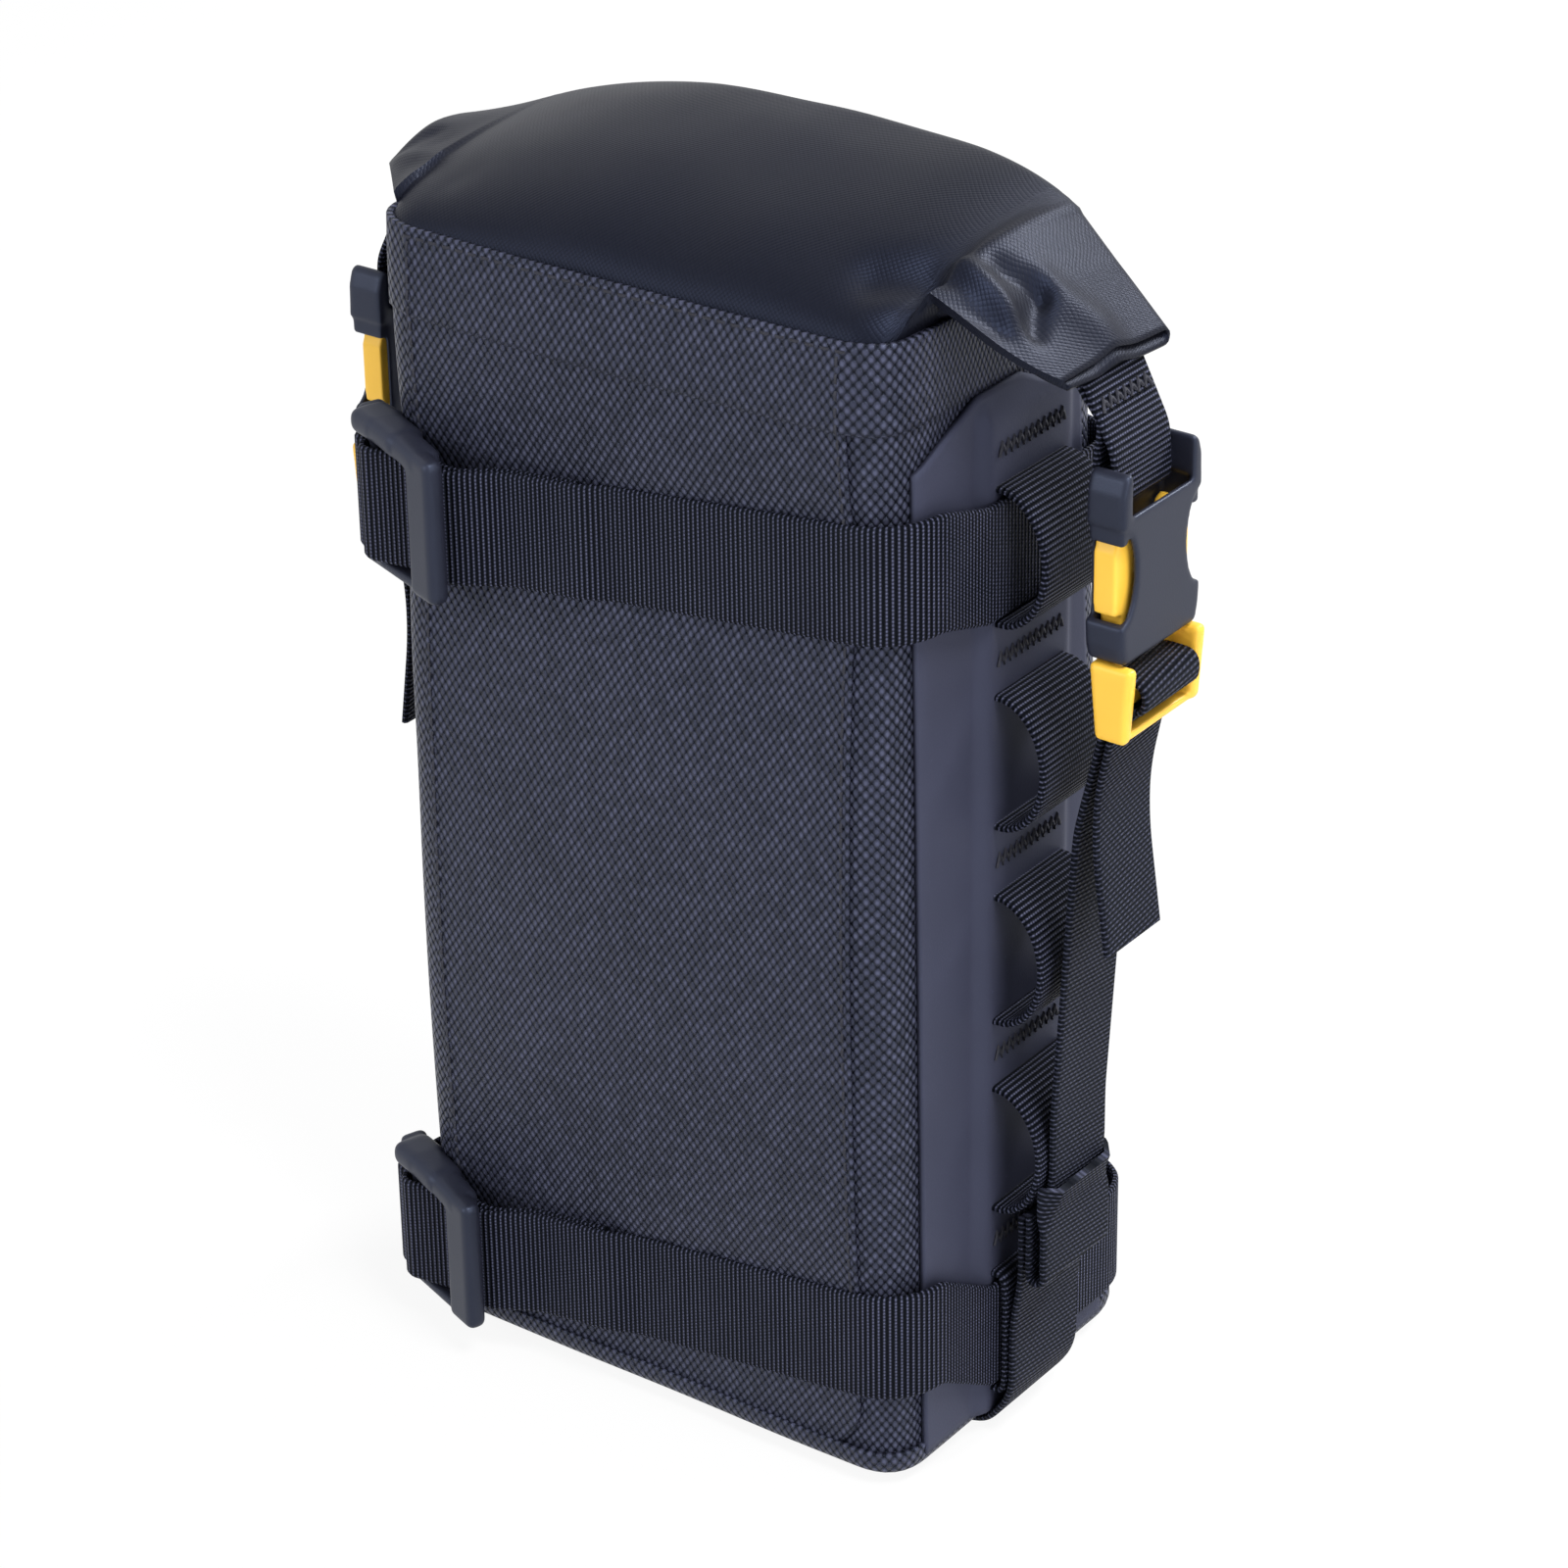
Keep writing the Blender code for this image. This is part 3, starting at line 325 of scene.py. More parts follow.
def rubber():
    """Matt sheet rubber with a fine grain and a few specks of dust."""
    finish = Finish("sheet_rubber", "rubber", Specular_IOR_Level=0.24, Specular_Tint=BLUISH)
    grain = finish.cloud(2200.0, 2.0)
    wear = finish.cloud(30.0)
    speck = ((finish.cloud(900.0, 1.0) - 0.74) * 14.0).at_least(0.0).at_most(1.0)
    colour = finish.mix(wear * 0.8 + speck * 0.7, slate(0.028), slate(0.046))
    rough = 0.52 + grain * 0.16
    return finish.give(Base_Color=colour, Roughness=rough, Normal=finish.bump(grain, 0.03))


def webbing(name, rib, bead_pitch, light, twill=0.0):
    """Woven webbing with ribs across its width; twill leans the ribs of the finer webbing, and light sets the
    painted highlight on the rib crowns.
    """
    finish = Finish(name, "webbing", Specular_IOR_Level=0.16, Specular_Tint=BLUISH)
    across, along = finish.chart()
    ribs = (along + across * twill) / rib
    ridge = (ribs * math.pi).sine().size()
    bead = ((across * (2.0 * math.pi / bead_pitch) + ribs.floor() * math.pi).sine() + 1.0) * 0.5
    height = ridge * 0.75 + ridge * bead * 0.25
    wear = finish.cloud(60.0)
    # Painted light: the rib crowns are painted light as a highlight and the grooves near black as shade,
    # varied by soft patches of wear.
    painted_light_and_tone = ridge ** 7.0 * (bead * 0.8 + 0.2) * (wear * 0.6 + 0.7)
    colour = finish.mix(painted_light_and_tone, slate(0.0005), slate(light))
    rough = 0.85 - ridge * 0.3
    return finish.give(Base_Color=colour, Roughness=rough, Normal=finish.bump(height, 0.6))


def thread():
    finish = Finish("black_thread", "webbing", Specular_IOR_Level=0.35)
    twist = finish.cloud(1500.0)
    colour = finish.mix(twist, slate(0.004), slate(0.025))
    return finish.give(Base_Color=colour, Roughness=0.55 + twist * 0.2, Normal=finish.bump(twist, 0.1))


def plastic(name, slot, dark, light, rough, grain_depth, gloss, tint):
    """Moulded plastic with a fine spark-eroded grain."""
    finish = Finish(name, slot, Specular_IOR_Level=gloss, Specular_Tint=tint)
    grain = finish.cloud(2600.0, 2.0)
    wear = finish.cloud(45.0)
    colour = finish.mix(wear * 0.8, dark, light)
    satin = rough + wear * 0.12 + grain * 0.06
    return finish.give(Base_Color=colour, Roughness=satin, Normal=finish.bump(grain, grain_depth))


FABRIC = coated_fabric()
CLOTH = coated_cloth()
RUBBER = rubber()
WEBBING = webbing("ribbed_webbing", rib=1.15, bead_pitch=0.8, light=0.1)
TAPE = webbing("fine_webbing", rib=1.06, bead_pitch=1.5, light=0.06, twill=0.12)
THREAD = thread()
BLACK = plastic("black_moulding", "black_plastic", slate(0.008), slate(0.018),
                rough=0.36, grain_depth=0.03, gloss=0.45, tint=BLUISH)
YELLOW = plastic("yellow_moulding", "yellow_plastic", (0.86, 0.49, 0.046, 1.0), (0.92, 0.55, 0.066, 1.0),
                 rough=0.3, grain_depth=0.012, gloss=0.35, tint=WHITE)


# Making pieces

SHARP_EDGE = math.radians(50)


def finish_piece(name, bm, finish, body="bag", nodes=()):
    """Turn a mesh in millimetres into a smooth object in metres that rides on a body."""
    bmesh.ops.scale(bm, vec=(MM, MM, MM), verts=bm.verts)
    mesh = bpy.data.meshes.new(name)
    bm.to_mesh(mesh)
    bm.free()
    mesh.shade_smooth()
    mesh.set_sharp_from_angle(angle=SHARP_EDGE)
    mesh.materials.append(finish.material)
    obj = bpy.data.objects.new(name, mesh)
    bpy.context.scene.collection.objects.link(obj)
    if body:
        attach(obj, body)
    if nodes:
        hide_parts(*nodes)
    return obj


def thicken(obj, thickness, offset=-1.0):
    solid = obj.modifiers.new("thickness", "SOLIDIFY")
    solid.thickness = thickness * MM
    solid.offset = offset


def laid_grid(columns, rows, place, chart):
    """A grid of quads laid out by place(u, v), with u and v from 0 to 1, and charted in millimetres."""
    bm = bmesh.new()
    bmesh.ops.create_grid(bm, x_segments=columns, y_segments=rows, size=0.5)
    uv = bm.loops.layers.uv.new("chart")
    for face in bm.faces:
        for corner in face.loops:
            u, v = corner.vert.co.x + 0.5, corner.vert.co.y + 0.5
            corner[uv].uv = chart(u, v)
    for vert in bm.verts:
        vert.co = place(vert.co.x + 0.5, vert.co.y + 0.5)
    return bm


def close_up(bm, caps=True):
    """Weld the seam of a rolled-up grid, cap its ends and turn its faces outwards."""
    bmesh.ops.remove_doubles(bm, verts=bm.verts, dist=1e-3)
    if caps:
        bmesh.ops.holes_fill(bm, edges=[e for e in bm.edges if e.is_boundary], sides=0)
    bmesh.ops.recalc_face_normals(bm, faces=bm.faces)
    return bm


def rounded(points, radius, steps=6):
    """A path with its inner corners turned into smooth bends."""
    path = [Vector(points[0])]
    for before, corner, after in zip(points, points[1:], points[2:]):
        before, corner, after = Vector(before), Vector(corner), Vector(after)
        first = 0.98 if corner == Vector(points[1]) else 0.49
        last = 0.98 if corner == Vector(points[-2]) else 0.49
        reach = min(radius, (before - corner).length * first, (after - corner).length * last)
        start = corner + (before - corner).normalized() * reach
        end = corner + (after - corner).normalized() * reach
        for i in range(steps + 1):
            t = i / steps
            path.append(start * (1 - t) ** 2 + corner * (2 * t * (1 - t)) + end * t * t)
    path.append(Vector(points[-1]))
    return path


def evenly(path, count):
    """Points at even distances along a path, and the path's length."""
    lengths = [(b - a).length for a, b in zip(path, path[1:])]
    total = sum(lengths)
    points = []
    leg, passed = 0, 0.0
    for i in range(count + 1):
        goal = total * i / count
        while leg < len(lengths) - 1 and passed + lengths[leg] < goal:
            passed += lengths[leg]
            leg += 1
        share = (goal - passed) / max(lengths[leg], 1e-9)
        points.append(path[leg].lerp(path[leg + 1], min(1.0, share)))
    return points, total


def web_section(width):
    """Points round webbing's flat section with soft edges: place across, and height."""
    spans, soft = 8, 0.45
    half, flat, edge = width / 2, width / 2 - WEB * soft, WEB / 2
    across = [-flat + 2 * flat * i / spans for i in range(spans + 1)]
    ring = [(a, edge) for a in across] + [(half, edge * soft), (half, -edge * soft)]
    ring += [(a, -edge) for a in reversed(across)] + [(-half, -edge * soft), (-half, edge * soft)]
    return ring


def strap(name, path, width, finish, across=(0, 1, 0), nodes=(), body="bag", step=1.2, way=1.0,
          upright=False, curl=0.0):
    """Webbing swept along a path; its width is square to the path, or upright where it is sheared.

    With a curl, the edges of its last stretch turn in round a narrower strap below.
    """
    length = sum((b - a).length for a, b in zip(path, path[1:]))
    rows = max(4, round(length / step))
    points, total = evenly(path, rows)
    ring = web_section(width)
    frames = []
    for i, point in enumerate(points):
        run = (points[min(i + 1, rows)] - points[max(i - 1, 0)]).normalized()
        wide = Vector(across)
        out = wide.cross(run).normalized()
        if not upright:
            wide = run.cross(out)
        frames.append((point, wide, out))

    def place(u, v):
        point, wide, out = frames[round(v * rows)]
        a, h = ring[round(u * len(ring)) % len(ring)]
        last = max(0.0, 1.0 - total * (1.0 - v) / CURL_RUN)
        h -= curl * last * max(0.0, abs(a) - NARROW_WEB / 2 + 1.0)
        return point + wide * a + out * h

    def chart(u, v):
        return (ring[round(u * len(ring)) % len(ring)][0], way * total * v)

    bm = close_up(laid_grid(len(ring), rows, place, chart))
    return finish_piece(name, bm, finish, body, nodes)


def sewn_thread(name, path, count):
    """Thick thread along a path."""
    points, total = evenly(path, count)
    sides = 6

    def place(u, v):
        i = round(v * count)
        run = (points[min(i + 1, count)] - points[max(i - 1, 0)]).normalized()
        side = run.orthogonal().normalized()
        turn = 2 * math.pi * u
        return points[i] + (side * math.cos(turn) + run.cross(side) * math.sin(turn)) * THREAD_RADIUS

    bm = close_up(laid_grid(sides, count, place, lambda u, v: (u, total * v)))
    finish_piece(name, bm, THREAD)


def zigzag(name, half, turns, rise, place):
    """A bar tack: thread going up and down across webbing, laid out by place(across, up)."""
    path = []
    for k in range(turns + 1):
        path.append(place(-half + 2 * half * k / turns, rise if k % 2 else -rise))
    sewn_thread(name, path, 3 * turns)


# Body

def within(share):
    """A share kept between 0 and 1."""
    return max(0.0, min(1.0, share))


def eased(share):
    """A share that starts and ends gently."""
    return share * share * (3 - 2 * share)


def lean(y, z):
    """The back of the bag leans forwards as it rises, and the front stays upright."""
    first, last = FRONT_Y + CORNER + LEAN_INSET, BACK_Y - CORNER - LEAN_INSET
    return y - BACK_LEAN * z * within((y - first) / (last - first))


def strap_height(x, y, middle, rise, shift):
    """Height of a wrap strap's middle line: level in the loops, sloping across the front."""
    share = within((LEVEL_Y - y) / LEVEL_RUN)
    return middle + share * (rise * max(x, TILT_END_X) + shift)


def lobe(share, power):
    """0 at both ends and 1 in the middle; a low power makes it fuller."""
    return math.sin(math.pi * within(share)) ** power


def swell(x, y, facing_y, z):
    """How far the filled bag stands out past its frame, between the straps that draw it in."""
    upper = strap_height(x, y, *UPPER)
    lower = strap_height(x, y, *LOWER)
    dome = max(0.0, 1.0 - (x / BODY_HALF) ** 2)
    edge = WEB_WIDTH / 2 + 0.5
    if z > upper:
        rise = TOP_SWELL * lobe((z - upper - edge) / (RIM_Z + 6.0 - upper - edge), 0.75)
    else:
        rise = FRONT_SWELL * lobe((z - lower - edge) / (upper - lower - 2 * edge), 0.6)
    facing = max(0.0, -facing_y) + 0.5 * max(0.0, facing_y)
    ripple = RIPPLE * noise.noise(Vector((x, y, z)) * RIPPLE_SCALE)
    return rise * facing * dome ** 0.5 + ripple * facing


def body_outline(count):
    """Points round the body's section from the middle of the back, each with its way out, and the girth."""
    half = BODY_HALF
    corners = [(0, BACK_Y, 0), (-half, BACK_Y, 0), (-half, FRONT_Y, 0), (half, FRONT_Y, 0),
               (half, BACK_Y, 0), (0, BACK_Y, 0)]
    points, total = evenly(rounded(corners, CORNER, 8), count)
    outline = []
    for i in range(count):
        run = (points[i + 1] - points[i - 1 if i else count - 1]).normalized()
        outline.append((points[i], Vector((-run.y, run.x, 0)) * -1))
    return outline, total


def body_at(point, out, z, lift=0.0):
    """A point on the filled bag's skin."""
    rise = swell(point.x, point.y, out.y, z) + lift
    return Vector((point.x + out.x * rise, lean(point.y, z) + out.y * rise, z))


def make_body():
    count, rows, foot_rows = 264, 130, 8
    outline, girth = body_outline(count)

    def height(v):
        """Heights from the underside, round the bottom edge and up the walls: height and how far in."""
        turn = foot_rows / rows
        if v < turn:
            angle = v / turn * math.pi / 2
            return BASE_ROUND * (1 - math.cos(angle)), BASE_ROUND * (1 - math.sin(angle))
        return BASE_ROUND + (RIM_Z - BASE_ROUND) * (v - turn) / (1 - turn), 0.0

    def place(u, v):
        point, out = outline[round(u * count) % count]
        z, inward = height(v)
        return body_at(point, out, z, -inward)

    def chart(u, v):
        return (girth * u, height(v)[0] - height(v)[1])

    bm = close_up(laid_grid(count, rows, place, chart))
    nodes = ("right_gusset", "left_gusset", "bottom_panel")
    finish_piece("body_gusset", bm, FABRIC, nodes=nodes)


def make_panel(name, facing, nodes):
    """Front or back panel, welded over the gusset, with round lower corners."""
    columns, rows = 90, 120
    top = RIM_Z - 1.0
    out = Vector((0, facing, 0))
    edge_y = FRONT_Y if facing < 0 else BACK_Y

    def spot(u, v):
        z = PANEL_FOOT + (top - PANEL_FOOT) * v
        drop = max(0.0, PANEL_CORNER - (z - PANEL_FOOT))
        half = SEAM_X - PANEL_CORNER + math.sqrt(max(0.0, PANEL_CORNER ** 2 - drop ** 2))
        return (2 * u - 1) * half, z

    def place(u, v):
        x, z = spot(u, v)
        return body_at(Vector((x, edge_y, 0)), out, z, PANEL_LIFT)

    bm = laid_grid(columns, rows, place, spot)
    bmesh.ops.recalc_face_normals(bm, faces=bm.faces)
    if facing > 0:
        bmesh.ops.reverse_faces(bm, faces=bm.faces)
    thicken(finish_piece(name, bm, FABRIC, nodes=nodes), PANEL_LIFT)


def make_band(name, low, high, rows, lift):
    """A band of cloth round the body between two heights, lift(point, z) above its skin."""
    count = 200
    outline, girth = body_outline(count)

    def place(u, v):
        point, out = outline[round(u * count) % count]
        z = low + (high - low) * v
        return body_at(point, out, z, lift(point, z))

    bm = laid_grid(count, rows, place, lambda u, v: (girth * u + 0.4, low + (high - low) * v + 0.5))
    close_up(bm, caps=False)
    thicken(finish_piece(name, bm, FABRIC), BAND_LIFT + PANEL_LIFT)


def make_bands():
    """Hem band round the body's mouth, and the bottom panel's welded edge turned up round the body."""
    def over_panels(point, z):
        return BAND_LIFT + (PANEL_LIFT if abs(point.x) < SEAM_X else PANEL_LIFT * 0.2)

    def round_the_foot(point, z):
        over = max(0.0, BASE_ROUND - z)
        inward = BASE_ROUND - math.sqrt(max(0.0, BASE_ROUND ** 2 - over ** 2))
        return BAND_LIFT + PANEL_LIFT - inward

    make_band("top_band", RIM_Z - BAND_DROP, RIM_Z + 0.4, 10, over_panels)
    make_band("bottom_band", BASE_ROUND * 0.45, BASE_ROUND + 1.6, 8, round_the_foot)


def add_stitch(bm, start, end, out):
    """One stitch of thick thread lying on a surface."""
    run = end - start
    side = out.cross(run).normalized()
    made = bmesh.ops.create_cube(bm, size=1.0)["verts"]
    for vert in made:
        a, b, c = vert.co
        pinch = 0.5 if c > 0 else 1.0
        along = start.lerp(end, 0.5 + a * pinch * 0.98)
        vert.co = along + side * (b * STITCH_WIDE) + out * (0.1 + c * STITCH_HIGH)


def make_stitches():
    """Lock stitches along the mouth's hem and up the two front seams."""
    bm = bmesh.new()
    out = Vector((0, -1, 0))
    lift = BAND_LIFT + PANEL_LIFT
    for i in range(round(2 * SEAM_X / STITCH)):
        x = -SEAM_X + STITCH * i
        ends = [body_at(Vector((x + d, FRONT_Y, 0)), out, RIM_Z - HEM_DROP, lift) for d in STITCH_ENDS]
        add_stitch(bm, *ends, out)
    for side in (-1, 1):
        for i in range(round((RIM_Z - PANEL_FOOT - SEAM_SHORT) / STITCH)):
            z = RIM_Z - SEAM_DROP - STITCH * i
            above = lift if z > RIM_Z - BAND_DROP else PANEL_LIFT
            spot = Vector((side * (SEAM_X - SEAM_INSET), FRONT_Y, 0))
            ends = [body_at(spot, out, z - d, above) for d in STITCH_ENDS]
            add_stitch(bm, *ends, out)
    bmesh.ops.recalc_face_normals(bm, faces=bm.faces)
    finish_piece("seam_stitches", bm, THREAD)


# Collar and rolled mouth

ROLL_BACK = 13.2
ROLL_THICK = 8.0
ROLL_CLOTH = 0.9
END_THICK = 3.4
LAYERS_INSET = 3.0
LAYERS_CLOTH = 0.7
LAYERS_FLAT = (80.0, 174.0)
ROLL_RIPPLE = 0.5
ROLL_RIPPLE_SCALE = 0.045
COLLAR_CLOTH = 0.8
COLLAR_FLAT = 30.0
COLLAR_ROOT = 3.0
COLLAR_INSET = 0.9
COLLAR_LEAST = 4.0
COLLAR_BELOW = 5.0

# Points of a section of the roll: over the top, round the back edge and underneath
TOP_STEPS = 36
TURN_STEPS = 8
UNDER_STEPS = 18

# The roll's two ends, by side: its arch, the fold at the corner and the ear that hangs past the body
END_DROP = {1: 29.0, -1: 18.8}
ARCH_POWER = {1: 4.2, -1: 2.2}
END_SHORT = {1: 0.6, -1: 8.7}
CORNER_FOLD_X = {1: 60.0, -1: 62.3}
TUCK = {1: Vector((63.5, -34.0, 266.7)), -1: Vector((63.5, -38.0, 260.5))}
EAR_SLOPE = {1: (12.0, 5.0), -1: (0.5, 1.2)}
EAR_SWEEP = {1: (4.5, 7.5), -1: (16.0, 0.0)}
EAR_FLAT = {1: 1.0, -1: 0.4}
EAR_CROWN = {1: 5.0, -1: 7.5}
CREASE_SHARE = {1: 1.0, -1: 0.2}

# Line across the right ear where it bends down straight
FOLD_LINE_X = 65.0
FOLD_LINE_DROP = 9.2

# Creases of the ears on the ground plan: start, end, depth and half width
CREASES = (
    (Vector((66.0, -36.0)), Vector((75.0, -28.5)), 2.2, 2.8),
    (Vector((63.0, -24.0)), Vector((75.0, -23.0)), -2.6, 3.0),
    (Vector((69.0, -16.5)), Vector((74.0, -12.5)), 1.8, 2.4),
    (Vector((74.5, -13.0)), Vector((77.5, -20.5)), 2.6, 2.6),
    (Vector((76.0, -10.0)), Vector((83.0, -4.0)), -2.0, 4.5),
    (Vector((52.0, -34.0)), Vector((63.0, -26.0)), 2.4, 5.0),
)


def side_of(x):
    return 1 if x > 0 else -1


def roll_end(sign):
    """How far the roll reaches to one side."""
    return (ROLL_HIGH.x if sign > 0 else -ROLL_LOW.x) - END_SHORT[sign]


def crest(x):
    """Height of the roll's back edge; the left side slopes down sooner and ends shorter than the right."""
    sign = side_of(x)
    drop = END_DROP[sign] * (abs(x) / roll_end(sign)) ** ARCH_POWER[sign]
    bent = (x - FOLD_LINE_X) / (roll_end(1) - FOLD_LINE_X)
    if bent > 0:
        drop = max(drop, FOLD_LINE_DROP + (END_DROP[1] - FOLD_LINE_DROP) * bent)
    return ROLL_HIGH.z - drop


def rim_point(x):
    """Where the cloth comes out behind the hem band, at the front and round the corner."""
    over = max(0.0, x - (BODY_HALF - CORNER))
    y = FRONT_Y + CORNER - math.sqrt(max(0.0, CORNER ** 2 - over ** 2))
    return y - swell(x, FRONT_Y, -1.0, RIM_Z) - 0.2, RIM_Z - 2.0


def front_edge(x):
    """Start of the cloth at the front: the rim, then the tuck at the corner, then the ear's free fold."""
    size, sign = abs(x), side_of(x)
    fold_x, tuck = CORNER_FOLD_X[sign], TUCK[sign]
    if size <= fold_x:
        return rim_point(size)
    if size <= tuck.x:
        t = (size - fold_x) / (tuck.x - fold_x)
        y, z = rim_point(size)
        return y + (tuck.y - y) * t, z + (tuck.z - z) * t
    t = (size - tuck.x) / (roll_end(sign) - tuck.x)
    sweep, slope = EAR_SWEEP[sign], EAR_SLOPE[sign]
    return tuck.y + sweep[0] * t + sweep[1] * t ** 4, tuck.z - slope[0] * t - slope[1] * t * t


def creased(x, y):
    """Drop of the cloth in the folds that run out over the ears."""
    spot = Vector((abs(x), y))
    drop = 0.0
    for start, end, depth, width in CREASES:
        run = end - start
        share = (spot - start).dot(run) / run.length_squared
        away = (spot - start - run * within(share)).length
        drop += depth * math.exp(-(away / width) ** 2)
    return drop * CREASE_SHARE[side_of(x)]


def roll_section(x):
    """Closed section of the roll at x, as (y, z), from the front edge over the top and back underneath."""
    y0, z0 = front_edge(x)
    z3 = crest(x)
    deep = ROLL_BACK - y0
    sign = side_of(x)
    past = max(0.0, abs(x) - CORNER_FOLD_X[sign])
    far = min(1.0, past / (roll_end(sign) - CORNER_FOLD_X[sign]))
    ear = EAR_FLAT[sign] * min(1.0, past / 6.0)
    crown = EAR_CROWN[sign] * (ear * (1.0 - far) if sign > 0 else far)
    steep = Vector((y0 - 0.5, z0 + (z3 - z0) * 0.62, 0))
    flat = Vector((y0 + deep * 0.22, z0 + crown, 0))
    p0 = Vector((y0, z0, 0))
    p1 = steep.lerp(flat, ear)
    p2 = Vector((ROLL_BACK - deep * 0.45, z3 + 1.2 + crown * 0.8, 0))
    p3 = Vector((ROLL_BACK, z3, 0))
    top = []
    for i in range(TOP_STEPS + 1):
        t = i / TOP_STEPS
        s = 1 - t
        point = p0 * s ** 3 + p1 * (3 * s * s * t) + p2 * (3 * s * t * t) + p3 * t ** 3
        hold = min(1.0, 6 * t) * min(1.0, 4 * s)
        point.y -= creased(x, point.x) * hold
        top.append(point)
    thick = ROLL_THICK + (END_THICK - ROLL_THICK) * far
    turn = []
    for i in range(1, TURN_STEPS):
        angle = math.pi / 2 - math.pi * i / TURN_STEPS
        turn.append(p3 + Vector((math.cos(angle), math.sin(angle) - 1.0, 0)) * (thick / 2))
    under = []
    lip = 2.2
    for i in range(UNDER_STEPS + 1):
        t = i / UNDER_STEPS
        source = top[round((1 - t) * TOP_STEPS)]
        drop = lip + (thick - lip) * min(1.0, (1 - t) * 2.5)
        under.append(Vector((source.x + 0.6 * t, source.y - drop, 0)))
    return top + turn + under


def roll_stations(count):
    left, right = -roll_end(-1), roll_end(1)
    return [left + (right - left) * i / count for i in range(count + 1)]


def make_roll():
    columns, count = 96, 190
    sections = []
    for x in roll_stations(count):
        section = roll_section(x)
        ring, length = evenly(section + section[:1], columns)
        sections.append((x, ring, length))

    def place(u, v):
        x, ring, _ = sections[round(v * count)]
        point = ring[round(u * columns) % columns]
        rise = ROLL_RIPPLE * noise.noise(Vector((x, point.x, 3.0)) * ROLL_RIPPLE_SCALE)
        return Vector((x, point.x, point.y + rise))

    def chart(u, v):
        x, _, length = sections[round(v * count)]
        return (x, length * u)

    bm = laid_grid(columns, count, place, chart)
    close_up(bm, caps=False)
    roll = finish_piece("rolled_mouth_cloth", bm, CLOTH, nodes=("rolled_mouth", "roll_stiffener"))
    thicken(roll, ROLL_CLOTH)


def make_roll_layers():
    """The inner turns of the rolled cloth, seen at both open ends."""
    count, steps = 90, 48
    turns = [(-0.35, 0.40), (0.82, 0.40), (0.92, 0.0), (0.82, -0.40),
             (-0.80, -0.40), (-0.90, -0.1), (-0.84, 0.25)]
    path = rounded([(a, b, 0) for a, b in turns], 0.3, 5)
    flat, _ = evenly(path, steps)
    sections = []
    for x in roll_stations(count):
        x *= 1.0 - LAYERS_INSET / roll_end(1)
        section = roll_section(x)
        top, under = section[:TOP_STEPS + 1], section[TOP_STEPS + TURN_STEPS:][::-1]
        sections.append((x, top, under))

    def place(u, v):
        x, top, under = sections[round(v * count)]
        p = flat[round(u * steps)]
        share = 0.12 + 0.84 * (0.5 + 0.5 * p.x)
        high = top[round(share * TOP_STEPS)]
        low = under[round(share * UNDER_STEPS)]
        middle = (high + low) / 2
        room = max(0.6, (high.y - low.y) / 2 - ROLL_CLOTH)
        return Vector((x, middle.x, middle.y + p.y * room))

    bm = laid_grid(steps, count, place, lambda u, v: (LAYERS_FLAT[0] * u, LAYERS_FLAT[1] * v))
    bmesh.ops.recalc_face_normals(bm, faces=bm.faces)
    thicken(finish_piece("rolled_mouth_layers", bm, CLOTH), LAYERS_CLOTH, offset=0.0)


def make_collar():
    """Cloth from the rim up under the roll, gathered into the tucks at both sides."""
    count, rows = 240, 18
    outline, girth = body_outline(count)

    def place(u, v):
        point, out = outline[round(u * count) % count]
        start = Vector((point.x, lean(point.y, RIM_Z), RIM_Z - COLLAR_ROOT)) - out * COLLAR_INSET
        side = abs(out.x)
        corner = side * abs(out.y) * 2.0
        goal_x = point.x * (1.0 + 0.10 * side)
        goal_y = SIDE_Y + (start.y - SIDE_Y) * (0.30 + 0.34 * corner)
        goal_z = max(crest(goal_x) - ROLL_THICK + 1.0, RIM_Z + COLLAR_LEAST)
        goal = Vector((goal_x, goal_y, min(goal_z, crest(goal_x) - COLLAR_BELOW)))
        bend = start.lerp(goal, 0.35) + Vector((0, 0, (goal.z - start.z) * 0.45))
        bend.x *= 1.0 - 0.10 * side
        s = 1 - v
        return start * s * s + bend * 2 * s * v + goal * v * v

    bm = laid_grid(count, rows, place, lambda u, v: (girth * u, COLLAR_FLAT * v))
    close_up(bm, caps=False)
    thicken(finish_piece("collar_cloth", bm, CLOTH, nodes=("collar",)), COLLAR_CLOTH)


# Rubber patches and daisy chains

PATCH_SHOULDER = 21.0
PATCH_CHAMFER = 9.5
PATCH_FRONT_LOW = -36.0
PATCH_FRONT_TOP = -39.0
RUBBER_THICK = 1.2
RAISED_EDGE = 5.5
RAISED_SLOPE = 5.0
RAISED_END = 6.0


